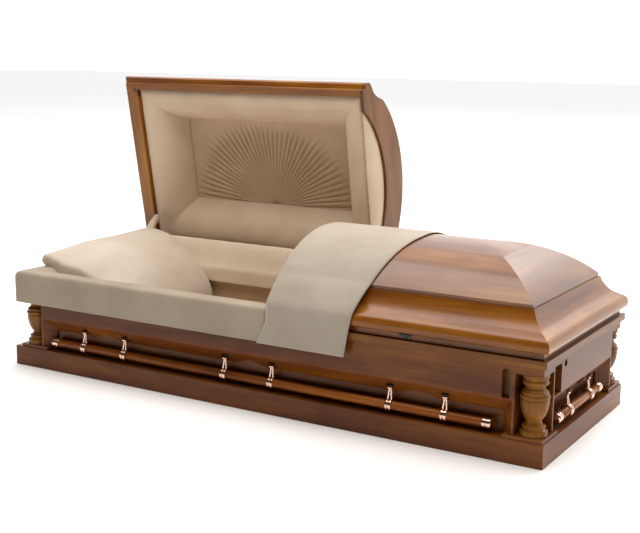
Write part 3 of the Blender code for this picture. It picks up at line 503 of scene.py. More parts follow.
HEAD_CUT, FOOT_CUT, HEADER_BOARD, SAW_GAP = 0.095, 0.0965, 0.013, 0.0003
for half, inner_cut, header, end_x, sign, place in (
    ("head", HEAD_CUT - HEADER_BOARD - SAW_GAP, (HEAD_CUT - HEADER_BOARD, HEAD_CUT), HEAD_EDGE, -1, opened),
    ("foot", FOOT_CUT + HEADER_BOARD + SAW_GAP, (FOOT_CUT, FOOT_CUT + HEADER_BOARD), FOOT_EDGE, 1, None),
):
    shut = SHUT if half == "head" else None
    frame_wood = satin_lacquered_hardwood(
        f"{half}_lid_frame_hardwood", "frame", LID_TONES, 1.7 + sign, mitres=(end_x,), shut=shut, gloss=0.4
    )
    crown_wood = satin_lacquered_hardwood(
        f"{half}_lid_crown_hardwood", "frame", CROWN_TONES, 4.6 + sign, mitres=(end_x,), shut=shut, gloss=0.6
    )
    header_wood = satin_lacquered_hardwood(f"{half}_lid_header_hardwood", "y", CROWN_TONES, 7.7, shut=shut)
    rows = lid_frame_rows(inner_cut, end_x, sign)
    body = f"{half}_lid"
    frame_mesh = grid(f"{half}_lid_moulding", rows, loop=True, caps="ends", crease=32)
    fitted(f"{half}_lid_moulding", frame_mesh, frame_wood, body, [f"{half}_lid_frame"], place)
    shell = crown_shell(f"{half}_lid_barrel", inner_cut, end_x, sign)
    fitted(f"{half}_lid_barrel", shell, crown_wood, body, [f"{half}_lid_crown"], place)
    board = header_board(f"{half}_lid_arch_board", *header)
    fitted(f"{half}_lid_arch_board", board, header_wood, body, [f"{half}_lid_header"], place)


# Latch and lid bumper
# A black painted steel strike plate on the foot lid's fascia, and a dark rubber button set in
# the underside of the head lid's corner, which meets the ledge when the lid shuts.
def black_paint():
    """Baked black enamel on steel: near black, with a soft edge highlight."""
    made, tree = empty_material("black_enamelled_steel")
    speckle = add(tree, "TexNoise", {"Scale": 400.0, "Detail": 2.0}).outputs["Fac"]
    tone = add(tree, "ValToRGB", {"Fac": speckle}, [(0.3, "#0e0d0c"), (0.7, "#1b1917")]).outputs["Color"]
    worn = add(tree, "MapRange", {"Value": speckle, "To Min": 0.32, "To Max": 0.46}).outputs["Result"]
    edge = add(tree, "Bevel", {"Radius": 0.0006}, samples=4).outputs["Normal"]
    shader = add(tree, "BsdfPrincipled", {"Base Color": tone, "Roughness": worn, "Normal": edge})
    add(tree, "OutputMaterial", {"Surface": shader.outputs["BSDF"]})
    return made


black_steel = black_paint()
finish_node(black_steel, "latch_plate")
button = [(0.0, 0.0070), (0.00018, 0.0068), (0.00025, 0.0058)]
button_place = opened @ Matrix.Translation((-0.981, -0.342, LID_BOTTOM)) @ Matrix.Rotation(math.pi, 4, "X")
bumper = turned("lid_bumper", button, 24, upright=True)
fitted("lid_bumper", bumper, black_steel, "head_lid", (), button_place)


# Handles
# Long turned hardwood bars with plated ferrules at their ends. Cast arms hang from black domed
# lugs screwed to the canted moulding, and each clasps the bar. The set is plated in rose gold.
def rose_gold_plate():
    """Polished rose-gold plating: bright pinkish glints beside dark reflections."""
    made, tree = empty_material("polished_rose_gold_plate")
    cloud = add(tree, "TexNoise", {"Scale": 120.0, "Detail": 3.0}).outputs["Fac"]
    tone = add(tree, "ValToRGB", {"Fac": cloud}, [(0.3, "#e6bca6"), (0.7, "#f4d5c5")]).outputs["Color"]
    rubbed = add(tree, "MapRange", {"Value": cloud, "To Min": 0.10, "To Max": 0.20}).outputs["Result"]
    edge = add(tree, "Bevel", {"Radius": 0.0008}, samples=4).outputs["Normal"]
    shader = add(
        tree, "BsdfPrincipled", {"Base Color": tone, "Metallic": 1.0, "Roughness": rubbed, "Normal": edge}
    )
    add(tree, "OutputMaterial", {"Surface": shader.outputs["BSDF"]})
    return made


rose_gold = rose_gold_plate()
AXIS_INSET, AXIS_HEIGHT, BAR_INSET, BAR_HEIGHT = 0.029, 0.160, 0.0275, 0.104
BAR_RADIUS, TIP_LENGTH, TIP_RADIUS = 0.0145, 0.031, 0.0172
COLLAR_RADIUS, COLLAR_LENGTH, EYE_RADIUS, EYE_LENGTH = 0.0205, 0.022, 0.0065, 0.016
bar_drop, bar_reach = BAR_HEIGHT - AXIS_HEIGHT, BAR_INSET - AXIS_INSET
ferrule = [(0.0, 0.93), (0.0005, 0.97), (0.0015, 1.0), (0.0095, 1.0), (0.0105, 0.985), (0.0112, 0.90)]
ferrule += [(0.0146, 0.90), (0.0152, 0.985), (0.0162, 1.0), (0.0235, 1.0), (0.0255, 0.985)]
ferrule += [(0.0275, 0.93), (0.0290, 0.84), (0.0300, 0.70), (0.0306, 0.50), (0.0310, 0.20)]


def joined_meshes(name, meshes):
    """Several loose parts of one casting as a single mesh."""
    shape = bmesh.new()
    for part in meshes:
        shape.from_mesh(part)
    mesh = bpy.data.meshes.new(name)
    shape.to_mesh(mesh)
    shape.free()
    mesh.shade_smooth()
    mesh.set_sharp_from_angle(angle=math.radians(38))
    return mesh


def cast_arm(name):
    """An eye on the pin, two legs that spread like an A, and a two-pronged clasp round the bar."""
    half_eye = EYE_LENGTH / 2
    eye = turned(
        "eye",
        [(-half_eye, 0.0052), (-half_eye + 0.0012, 0.0064), (-0.0052, EYE_RADIUS), (-0.0045, 0.0054)]
        + [(0.0045, 0.0054), (0.0052, EYE_RADIUS), (half_eye - 0.0012, 0.0064), (half_eye, 0.0052)],
        28,
    )
    legs = []
    low = bar_drop + COLLAR_RADIUS - 0.003
    for sign in (-1, 1):
        rows = []
        for t in (0.0, 0.12, 0.35, 0.65, 0.88, 1.0):
            z = -0.003 + t * (low + 0.003)
            middle = sign * (0.0028 + 0.0042 * t)
            wide, deep = 0.0021 + 0.0009 * abs(2 * t - 1), 0.0032 + 0.0006 * t
            row = []
            for k in range(12):
                angle = 2 * math.pi * (k + 0.5) / 12
                a = max(-1.0, min(1.0, 1.25 * math.cos(angle)))
                b = max(-1.0, min(1.0, 1.25 * math.sin(angle)))
                row.append((middle + wide * a, 0.0025 * (1 - t) + deep * b * 0.9 + bar_reach * t, z))
            rows.append(row)
        legs.append(grid("leg", rows, ring=True, caps="rows"))
    crossbar_profile = [(-0.0052, 0.0014), (-0.004, 0.0019), (0.004, 0.0019), (0.0052, 0.0014)]
    crossbar = turned("crossbar", crossbar_profile, 16)
    crossbar.transform(Matrix.Translation((0.0, 0.001, 0.58 * low)))
    half = COLLAR_LENGTH / 2
    bore, hub, half_gap = BAR_RADIUS + 0.0003, COLLAR_RADIUS - 0.0035, 0.0016

    def round_bar(along, radius):
        """A ring of points round the bar."""
        angles = [2 * math.pi * k / 44 for k in range(44)]
        return [(along, bar_reach + radius * math.cos(a), bar_drop + radius * math.sin(a)) for a in angles]

    rings = []
    for sign in (-1, 1):
        section = [(half_gap, bore), (half_gap, COLLAR_RADIUS - 0.0018), (0.0024, COLLAR_RADIUS - 0.0006)]
        section += [(0.0040, COLLAR_RADIUS), (half - 0.0022, COLLAR_RADIUS - 0.0004)]
        section += [(half - 0.0008, COLLAR_RADIUS - 0.0014), (half, COLLAR_RADIUS - 0.0030), (half, bore)]
        rows = [round_bar(sign * along, radius) for along, radius in section]
        rings.append(grid("ring", rows, ring=True, loop=True))
    web_section = [(-half_gap, bore), (half_gap, bore), (half_gap, hub), (-half_gap, hub)]
    web = grid("web", [round_bar(*corner) for corner in web_section], ring=True, loop=True)
    return joined_meshes(name, [eye, crossbar, web] + legs + rings)


def domed_lug(name):
    """A black housing over the pin: a dome above and behind it, on a plate against the wall."""
    rows = []
    for along in (-0.0118, -0.0112, -0.0095, 0.0095, 0.0112, 0.0118):
        shrink = 0.0016 * max(0.0, (abs(along) - 0.0095) / 0.0023)
        row = []
        for radius, first, sweep in ((0.0132 - shrink, 200, -165), (0.0104 - shrink * 0.2, 35, 165)):
            for k in range(15):
                angle = math.radians(first + sweep * k / 14)
                row.append((along, -radius * math.cos(angle), radius * math.sin(angle) + 0.0004))
        rows.append(row)
    return grid("dome", rows, ring=True, caps="rows", crease=38)


BAR_TONES = [(0.28, "#562b08"), (0.45, "#80450f"), (0.58, "#a05b17"), (0.74, "#c17522")]
for side_name, across, turn, half, arms in (
    ("front", BASE_HALF[1], 0.0, 0.893, (0.0967, 0.544, 0.735)),
    ("back", BASE_HALF[1], math.pi, 0.893, (0.0967, 0.544, 0.735)),
    ("foot", FOOT_EDGE, math.pi / 2, 0.210, (0.100,)),
    ("head", -HEAD_EDGE, -math.pi / 2, 0.210, (0.100,)),
):
    body = f"{side_name}_handle"
    pin = Matrix.Rotation(turn, 4, "Z") @ Matrix.Translation((0.0, AXIS_INSET - across, AXIS_HEIGHT))
    bar_line = pin @ Matrix.Translation((0.0, bar_reach, bar_drop))
    bar_end = half - TIP_LENGTH - 0.0003
    along_axis = "x" if side_name in ("front", "back") else "y"
    bar_wood = satin_lacquered_hardwood(
        f"{side_name}_bar_hardwood", along_axis, BAR_TONES, 2.2 + across, edge=0.0006
    )
    profile = [(-bar_end, BAR_RADIUS - 0.0004), (-bar_end + 0.0006, BAR_RADIUS)]
    profile += [(bar_end - 0.0006, BAR_RADIUS), (bar_end, BAR_RADIUS - 0.0004)]
    bar = turned(f"{side_name}_turned_bar", profile, 40)
    fitted(f"{side_name}_turned_bar", bar, bar_wood, body, [f"{body}_bar"], bar_line)
    for word, flip in (("left", -1), ("right", 1)):
        tip = turned(f"{side_name}_ferrule_{word}", [(a, r * TIP_RADIUS) for a, r in ferrule], 40)
        facing = Matrix.Rotation(0.0 if flip > 0 else math.pi, 4, "Z")
        outward = facing @ Matrix.Translation((half - TIP_LENGTH, 0, 0))
        fitted(tip.name, tip, rose_gold, body, [f"{body}_tip_{word}"], bar_line @ outward)
    for k, along in enumerate(sorted([-a for a in arms] + list(arms)), 1):
        arm = cast_arm(f"{side_name}_cast_arm_{k}")
        arm_place = pin @ Matrix.Translation((along, 0.0, 0.0))
        fitted(arm.name, arm, rose_gold, body, [f"{body}_arm_{k}"], arm_place)
        lug = domed_lug(f"{side_name}_lug_{k}")
        fitted(f"{side_name}_lug_{k}", lug, black_steel, "case", (), arm_place)


# Mattress
# A foam bed in a crepe cover, cut to the shape of the tub. Its top is softly crowned.
# Painted light and shade: the crepe is one cream cloth, but each piece passes its own tones, set lighter
# where that piece is lit and darker where it stands in shade.
def cream_crepe(name, light, shade, hollow=0.25, sheen=0.22):
    """Cream polyester crepe: a matt, finely crinkled face with a soft silky sheen.

    The real crinkle is under 1 mm. It is drawn about 1.6 mm coarse, so that it shows.
    """
    made, tree = empty_material(name)
    place = add(tree, "TexCoord").outputs["Object"]
    cloud = add(tree, "TexNoise", {"Vector": place, "Scale": 5.0, "Detail": 3.0}).outputs["Fac"]
    tone = add(tree, "ValToRGB", {"Fac": cloud}, [(0.32, shade), (0.66, light)]).outputs["Color"]
    crinkle = add(tree, "TexNoise", {"Vector": place, "Scale": 620.0, "Detail": 2.0}).outputs["Fac"]
    folds = {"Vector": place, "Scale": 14.0, "Detail": 2.0, "Distortion": 0.6}
    slack = add(tree, "TexNoise", folds).outputs["Fac"]
    soft = add(tree, "Bump", {"Height": slack, "Strength": hollow, "Distance": 0.006}).outputs["Normal"]
    relief = {"Height": crinkle, "Strength": 0.14, "Distance": 0.0006, "Normal": soft}
    surface = add(tree, "Bump", relief).outputs["Normal"]
    shader = add(
        tree,
        "BsdfPrincipled",
        {
            "Base Color": tone,
            "Roughness": 0.66,
            "IOR": 1.45,
            "Specular IOR Level": 0.35,
            "Normal": surface,
            "Sheen Weight": sheen,
            "Sheen Roughness": 0.45,
            "Sheen Tint": linear("#fff1e2"),
        },
    )
    add(tree, "OutputMaterial", {"Surface": shader.outputs["BSDF"]})
    return made


# Painted light and shade: the mattress's tones are set for the light it gets inside the case.
bed_crepe = cream_crepe("mattress_crepe", "#c6af96", "#baa287")
TUB_INSET, TUB_CORNER = 0.0747, 0.075


def cut_corner_ring(inset):
    """The tub's plan at an inset: a ring whose corners are cut off at 45 degrees."""
    head, foot, y = HEAD_EDGE + inset, FOOT_EDGE - inset, BASE_HALF[1] - inset
    c = TUB_CORNER - (inset - TUB_INSET) * (2 - math.sqrt(2))
    points = [(head + c, -y), (foot - c, -y), (foot, -y + c), (foot, y - c)]
    return points + [(foot - c, y), (head + c, y), (head, y - c), (head, -y + c)]


def filled_in(corners, spacing, closed, guide):
    """Points along a path of corners, the same number for every inset."""
    pairs = list(zip(corners, corners[1:])) + ([(corners[-1], corners[0])] if closed else [])
    guides = list(zip(guide, guide[1:])) + ([(guide[-1], guide[0])] if closed else [])
    row = []
    for (here, there), (a, b) in zip(pairs, guides):
        steps = max(2, round(math.dist(a, b) / spacing))
        for k in range(steps):
            row.append(tuple(p + (q - p) * k / steps for p, q in zip(here, there)))
    if not closed:
        row.append(tuple(corners[-1]))
    return row


# Without a seed the vector noise starts from the clock, and each run would wrinkle differently.
noise.seed_set(11)


def rumpled(point, amount, size, seed):
    """A point moved a little, smoothly from place to place."""
    return Vector(point) + noise.noise_vector(Vector(point) / size + Vector((seed, seed, seed))) * amount


def relaxed(mesh, rounds, factor=0.5):
    """Soften a mesh's corners, as wadding under cloth does."""
    shape = bmesh.new()
    shape.from_mesh(mesh)
    for _ in range(rounds):
        bmesh.ops.smooth_vert(
            shape, verts=shape.verts[:], factor=factor, use_axis_x=True, use_axis_y=True, use_axis_z=True
        )
    shape.to_mesh(mesh)
    shape.free()
    return mesh


bed_guide = cut_corner_ring(0.10)
bed_section = [(0.1012, 0.0760), (0.0998, 0.0800), (0.0994, 0.1100), (0.0996, 0.1450), (0.1010, 0.1560)]
bed_section += [(0.1060, 0.1640), (0.1160, 0.1685), (0.1400, 0.1700), (0.1900, 0.1712), (0.2600, 0.1718)]
bed_rows = []
for inset, z in bed_section:
    ring = filled_in(cut_corner_ring(inset), 0.03, True, bed_guide)
    bed_rows.append([(a, b, z) for a, b in ring])
bed = grid("mattress_cover", bed_rows, ring=True, caps="rows")
mattress = fitted("mattress_cover", bed, bed_crepe, "case", ["mattress"])


# Lining
# Crepe stretched over wadding on the inside of the case, tacked under the ledge. Its top is
# stuffed into a roll, and the plain skirt below it hangs nearly flat.
# Painted light and shade: the lining's tones are set for the light it gets inside the case.
lining_crepe = cream_crepe("lining_crepe", "#c6ab8f", "#ba9f81", hollow=0.35)
lining_section = [(0.0752, 0.0748), (0.0752, 0.3255)]
roll = [(0.0800, 0.3262), (0.0950, 0.3262), (0.1080, 0.3240), (0.1160, 0.3160), (0.1175, 0.3050)]
roll += [(0.1165, 0.2930), (0.1110, 0.2800), (0.1030, 0.2700), (0.0990, 0.2640)]
lining_section += [tuple(p) for p in flowing(roll, 2)]
lining_section += [(0.0975, 0.2500), (0.0976, 0.2200), (0.0977, 0.1900), (0.0975, 0.1500), (0.0970, 0.0748)]
lining_guide = cut_corner_ring(0.09)
lining_rows = []
for inset, z in lining_section:
    ring = filled_in(cut_corner_ring(inset), 0.02, True, lining_guide)
    inward = 0.0008 if inset > 0.09 and z > 0.18 else 0.0
    lining_rows.append([rumpled((a, b, z), inward, 0.07, 4.0) for a, b in ring])
lining_mesh = grid("tub_lining", lining_rows, ring=True, loop=True)
lining = fitted("tub_lining", lining_mesh, lining_crepe, "case", ["lining"])


# Hinge cover
# A stuffed crepe strip that hides the hinge between the case's back and the open head lid. Its
# front edge is turned down over the tub's roll as a thin skirt.
# Painted light: the hinge cover's tones are set lighter than the other crepe, for the light on its top.
cover_crepe = cream_crepe("hinge_cover_crepe", "#e8d8c2", "#dccab2")
cover_section = [(0.344, 0.3278), (0.3475, 0.3600), (0.3472, 0.3950), (0.3400, 0.4180), (0.3280, 0.4275)]
cover_section += [(0.3150, 0.4265), (0.3020, 0.4120), (0.2910, 0.3900), (0.2815, 0.3650), (0.2720, 0.3400)]
cover_section += [(0.2655, 0.3240), (0.2645, 0.3000), (0.2646, 0.2720)]
cover_outline = [tuple(p) for p in flowing(cover_section, 3)]
cover_outline += [(0.2650, 0.2700), (0.2668, 0.2710), (0.2668, 0.3240), (0.2700, 0.3276), (0.3000, 0.3278)]
COVER_HEAD, COVER_FOOT, COVER_MIDDLE, COVER_SEAT = -0.925, 0.090, 0.313, 0.3278
cover_rows = []
cover_steps = 90
for k in range(cover_steps + 1):
    x = COVER_HEAD + (COVER_FOOT - COVER_HEAD) * k / cover_steps
    near_end = min(x - COVER_HEAD, COVER_FOOT - x)
    swell = 0.80 + 0.20 * min(1.0, max(0.0, near_end) / 0.03) ** 0.5
    row = []
    for y, z in cover_outline:
        across, up = (y - COVER_MIDDLE) * swell, (z - COVER_SEAT) * swell
        point = Vector((x, COVER_MIDDLE + across, COVER_SEAT + up))
        share = max(0.0, (z - 0.3400) / 0.1)
        row.append(rumpled(point, 0.0012 * share, 0.05, 9.0))
    cover_rows.append(row)
cover_mesh = grid("hinge_cover_roll", cover_rows, ring=True, caps="rows")
cover = fitted("hinge_cover_roll", cover_mesh, cover_crepe, "case", ["hinge_cover"])
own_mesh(cover)


# Pillow
# A big boxed cushion, stuffed with fibre, that leans from the rim of the head end down to the
# mattress. Its cover is inflated as cloth, so that its faces swell between its seams.
def inflated(mesh, voxel, pressure, cap, frames=20):
    """Swell a closed cover with Cloth, and keep each point within cap of where it was."""
    thing = bpy.data.objects.new("swelling", mesh)
    bpy.context.scene.collection.objects.link(thing)
    remesh = thing.modifiers.new("even", "REMESH")
    remesh.mode = "VOXEL"
    remesh.voxel_size = voxel
    graph = bpy.context.evaluated_depsgraph_get()
    evened = bpy.data.meshes.new_from_object(thing.evaluated_get(graph))
    thing.modifiers.clear()
    thing.data = evened
    start = [v.co.copy() for v in evened.vertices]
    cloth = thing.modifiers.new("stuffing", "CLOTH")
    cloth.settings.use_pressure = True
    cloth.settings.uniform_pressure_force = pressure
    cloth.settings.quality = 5
    cloth.settings.effector_weights.gravity = 0.0
    cloth.point_cache.frame_start = 1
    cloth.point_cache.frame_end = frames
    for number in range(1, frames + 1):
        bpy.context.scene.frame_set(number)
    graph = bpy.context.evaluated_depsgraph_get()
    swollen = bpy.data.meshes.new_from_object(thing.evaluated_get(graph))
    thing.modifiers.clear()
    for vertex, rest in zip(swollen.vertices, start):
        moved = vertex.co - rest
        if moved.length > cap:
            vertex.co = rest + moved * (cap / moved.length)
    evened = swollen
    bpy.context.scene.frame_set(1)
    finished = evened.copy()
    bpy.data.objects.remove(thing, do_unlink=True)
    relaxed(finished, 2)
    finished.shade_smooth()
    return finished


# Painted light and shade: the pillow's tones are set for the light it gets under the open lid.
pillow_crepe = cream_crepe("pillow_crepe", "#cfc3b3", "#c5b6a5", hollow=0.30, sheen=0.3)
pillow_side = [(-1.039, 0.376), (-1.040, 0.404), (-1.009, 0.432), (-0.930, 0.452), (-0.841, 0.444)]
pillow_side += [(-0.753, 0.407), (-0.671, 0.345), (-0.618, 0.273), (-0.598, 0.216), (-0.610, 0.181)]
pillow_side += [(-0.640, 0.178), (-0.720, 0.234), (-0.820, 0.304), (-0.930, 0.372)]
pillow_curve = [Vector((p[0], p[1])) for p in flowing(pillow_side, 3, closed=True)]
pillow_middle = sum(pillow_curve, Vector((0.0, 0.0))) / len(pillow_curve)
PILLOW_HALF, SEAM_ROUND = 0.262, 0.010
SLUMP, PLUMPED_BACK = 0.074, -0.14
pillow_rows = []
for k in range(25):
    share = -1.0 + 2.0 * k / 24
    y = PILLOW_HALF * math.sin(share * math.pi / 2)
    edge = max(0.0, abs(y) - (PILLOW_HALF - SEAM_ROUND)) / SEAM_ROUND
    pull = 0.008 * (1 - math.sqrt(max(0.0, 1 - edge * edge)))
    row = []
    for p in pillow_curve:
        toward = pillow_middle - p
        moved = p + toward.normalized() * min(pull, toward.length * 0.5)
        from_middle = min(1.0, max(0.0, abs(y) - 0.05) / (PILLOW_HALF - 0.05)) ** 1.8
        from_head = min(1.0, max(0.0, moved.x + 1.035) / 0.11)
        to_foot = min(1.0, max(0.0, -0.60 - moved.x) / 0.16)
        sunk = SLUMP * from_middle * from_head**0.8 * to_foot * (1.0 if y < 0 else PLUMPED_BACK)
        row.append((moved.x, y, moved.y - sunk))
    pillow_rows.append(row)
pillow_mesh = grid("stuffed_pillow", pillow_rows, ring=True, caps="rows")
pillow_mesh = inflated(pillow_mesh, 0.0055, 4.0, 0.004)
pillow_mesh.name = "stuffed_pillow"
pillow = fitted("stuffed_pillow", pillow_mesh, pillow_crepe, "case", ["pillow"])
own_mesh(pillow)


# Rim cloth
# A padded crepe apron laid over the rim of the open half: a stuffed roll on the ledge, and a flap
# that hangs down outside, along the front and round the head end.
# Painted shade: the rim apron's tones are set darker than the other crepe, for the shade its hanging flap
# stands in.
rim_crepe = cream_crepe("rim_cloth_crepe", "#a69986", "#9b8c78", hollow=0.4)


def rim_path(inset):
    """The rim's plan at an inset: from the cut along the front, round the head end, to the back."""
    head, y = HEAD_EDGE + inset, BASE_HALF[1] - inset
    return [(HEAD_CUT + 0.0005, -y), (head, -y), (head, BASE_HALF[1] - 0.075)]


flap_out = [(-0.0036, 0.2510), (-0.0060, 0.2490), (-0.0088, 0.2500), (-0.0094, 0.2540), (-0.0093, 0.2750)]
flap_out += [(-0.0093, 0.3050), (-0.0094, 0.3350), (-0.0088, 0.3500), (-0.0062, 0.3600), (-0.0005, 0.3655)]
flap_out += [(0.0085, 0.3680), (0.0250, 0.3686), (0.0450, 0.3680), (0.0620, 0.3655), (0.0780, 0.3590)]
flap_out += [(0.0900, 0.3490), (0.0980, 0.3370), (0.1015, 0.3285)]
rim_section = [tuple(p) for p in flowing(flap_out, 2)]
rim_section += [(0.0800, 0.3276), (0.0300, 0.3276), (-0.0010, 0.3276), (-0.0036, 0.3240), (-0.0036, 0.2800)]
rim_guide = rim_path(0.03)
ROLL_UNDERSIDE, FLAP_DROP = 0.335, 0.086
rim_rows = []
for inset, z in rim_section:
    row = []
    for a, b in filled_in(rim_path(inset), 0.012, False, rim_guide):
        drop = max(0.0, (ROLL_UNDERSIDE - z) / FLAP_DROP)
        amount = 0.0012 if z > ROLL_UNDERSIDE else 0.0010 * drop
        if inset > -0.0040 and z < 0.329:
            amount = 0.0
        point = rumpled((a, b, z), amount, 0.045, 2.0)
        if inset < -0.0035:
            point.z += 0.0012 * drop * noise.noise(Vector((a * 5, b * 5, 3.0)))
        row.append(point)
    rim_rows.append(row)
rim_mesh = relaxed(grid("rim_apron", rim_rows, loop=True, caps="ends"), 1, 0.4)
rim = fitted("rim_apron", rim_mesh, rim_crepe, "case", ["rim_cloth"])
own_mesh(rim)


# Head lid's padded border
# Four stuffed crepe strips, mitred at the corners, that slope from the lid's frame up to the
# panel. A gusset of the same cloth fills the arch of the header board.
# Painted light and shade: the border's tones are set for the light inside the open lid; the gusset and the
# foot lid's pad share them.
border_crepe = cream_crepe("lid_border_crepe", "#d7c1a6", "#cab297", hollow=0.35)
BORDER_OUT = {"x0": -0.969, "x1": 0.081, "y0": -0.3435, "y1": 0.3435}
BORDER_IN = {"x0": -0.800, "x1": -0.040, "y0": -0.210, "y1": 0.135}
face = [(0.00, 0.0210), (0.06, 0.0120), (0.18, 0.0065), (0.38, 0.0045), (0.56, 0.0120), (0.72, 0.0300)]
face += [(0.87, 0.0620), (0.97, 0.0900), (1.00, 0.0985)]
border_section = [tuple(p) for p in flowing(face, 4)]
border_section += [(1.00, 0.1115), (0.72, 0.0800), (0.35, 0.0520), (0.00, 0.0480)]
border_guide = [(-0.88, -0.28), (0.02, -0.28), (0.02, 0.24), (-0.88, 0.24)]
border_rows = []
for t, depth in border_section:
    x0, x1, y0, y1 = (BORDER_OUT[k] + t * (BORDER_IN[k] - BORDER_OUT[k]) for k in ("x0", "x1", "y0", "y1"))
    ring = filled_in([(x0, y0), (x1, y0), (x1, y1), (x0, y1)], 0.014, True, border_guide)
    shows = 0.0014 if 0.05 < t < 0.98 and depth < 0.1 else 0.0
    border_rows.append([rumpled((a, b, LID_BOTTOM + depth), shows, 0.06, 6.0) for a, b in ring])
border_mesh = grid("lid_border_pads", border_rows, ring=True, loop=True, crease=40)
border = fitted(
    "lid_border_pads", border_mesh, border_crepe, "head_lid", ["head_lid_border"], opened
)

GUSSET_FACE, GUSSET_BACK, GUSSET_SWELL, GUSSET_GAP = 0.0840, 0.0824, 0.0065, 0.0012
gusset_low, gusset_radius = LID_BOTTOM + 0.006, arch_radius - GUSSET_GAP
gusset_rows = []
for k in range(19):
    t = k / 18
    row = []
    for j in range(41):
        angle = (-arch_reach + 2 * arch_reach * j / 40) * 0.985
        top = arch_centre + gusset_radius * math.cos(angle)
        swell = GUSSET_SWELL * (1 - (2 * t - 1) ** 2) ** 0.7 * (1 - (j / 20 - 1) ** 2) ** 0.5
        height = gusset_low + (top - gusset_low) * t
        row.append((GUSSET_FACE + swell, gusset_radius * math.sin(angle), height))
    gusset_rows.append(row)
back_rows = [[(GUSSET_BACK, p[1], p[2]) for p in row] for row in (gusset_rows[-1], gusset_rows[0])]
gusset_mesh = grid("header_gusset", gusset_rows + back_rows, loop=True, caps="ends", crease=50)
gusset = fitted("header_gusset", gusset_mesh, border_crepe, "head_lid", (), opened)


# Head lid's sunburst panel
# Thin crepe pleated by hand into rays that spread from the middle of the lower edge, tacked to a
# board in the crown. The pleats deepen away from their centre and die out along an ellipse.
# Painted light and shade: the panel's tones are set for the light inside the open lid.
panel_crepe = cream_crepe("sunburst_crepe", "#c8ae8d", "#bca180", hollow=0.2)
FAN_X, FAN_Y, PLEATS, PLEAT_DEPTH = -0.412, 0.142, 41, 0.013
FAN_REACH_X, FAN_REACH_Y, FAN_SQUARENESS, FAN_FADE = 0.395, 0.355, 2.3, 0.07
PANEL_HEAD, PANEL_FOOT, PANEL_FRONT, PANEL_HINGE, PANEL_RISE = -0.799, -0.041, -0.209, 0.134, 0.1070
panel_rows = []
rays = PLEATS * 8
start_angle = math.atan2(FAN_Y - PANEL_HINGE, FAN_X - PANEL_HEAD)
stop_angle = math.pi - math.atan2(FAN_Y - PANEL_HINGE, PANEL_FOOT - FAN_X)
for k in range(rays + 1):
    angle = start_angle + (stop_angle - start_angle) * k / rays
    away = Vector((-math.cos(angle), -math.sin(angle)))
    enter = (FAN_Y - PANEL_HINGE) / max(math.sin(angle), 0.001)
    if away.x < -1e-6:
        limit_x = (FAN_X - PANEL_HEAD) / away.x * -1
    else:
        limit_x = (PANEL_FOOT - FAN_X) / max(away.x, 1e-6)
    leave = min(limit_x, (FAN_Y - PANEL_FRONT) / max(math.sin(angle), 0.001))
    enter = min(enter, leave - 0.004)
    edge_x, edge_y = abs(away.x / FAN_REACH_X), abs(away.y / FAN_REACH_Y)
    edge = 1.0 / (edge_x**FAN_SQUARENESS + edge_y**FAN_SQUARENESS) ** (1 / FAN_SQUARENESS)
    wave = (k / 8.0) % 1.0
    fold = abs(wave - 0.5) * 2.0
    row = []
    for j in range(37):
        r = enter + (leave - enter) * (j / 36) ** 1.3
        tall = min(PLEAT_DEPTH, 0.55 * r * math.pi / PLEATS)
        fade = min(1.0, max(0.0, (edge - r) / FAN_FADE))
        depth = tall * fade * (math.sin(fold * math.pi / 2) ** 0.8 - 0.5)
        row.append((FAN_X + away.x * r, FAN_Y + away.y * r, LID_BOTTOM + PANEL_RISE - depth))
    panel_rows.append(row)
front = grid("sunburst_front", panel_rows)
shape = bmesh.new()
shape.from_mesh(front)
bmesh.ops.solidify(shape, geom=shape.faces[:], thickness=0.0012)
bmesh.ops.recalc_face_normals(shape, faces=shape.faces[:])
shape.to_mesh(front)
shape.free()
front.shade_smooth()
front.set_sharp_from_angle(angle=math.radians(70))
sunburst = fitted("sunburst_panel", front, panel_crepe, "head_lid", ["head_lid_panel"], opened)


# Foot lid's lining
# A plain stuffed pad closes the underside of the foot lid. It is seen only when that lid is raised.
PAD_CUT, PAD_FOOT, PAD_HALF = 0.1108, 0.9925, 0.3430
pad_section = [(0.0, 0.0345), (0.0, 0.0300), (0.004, 0.0262), (0.012, 0.0247), (0.05, 0.0242), (0.12, 0.0240)]
pad_guide = [(0.12, -0.33), (0.98, -0.33), (0.98, 0.33), (0.12, 0.33)]
pad_rows = []
for inset, depth in pad_section:
    x0, x1, y = PAD_CUT + inset, PAD_FOOT - inset, PAD_HALF - inset
    ring = filled_in([(x0, -y), (x1, -y), (x1, y), (x0, y)], 0.03, True, pad_guide)
    pad_rows.append([(a, b, LID_BOTTOM + depth) for a, b in ring])
foot_pad_mesh = grid("foot_lid_pad", pad_rows, ring=True, caps="rows", crease=60)
foot_pad = fitted("foot_lid_pad", foot_pad_mesh, border_crepe, "foot_lid", ["foot_lid_lining"])


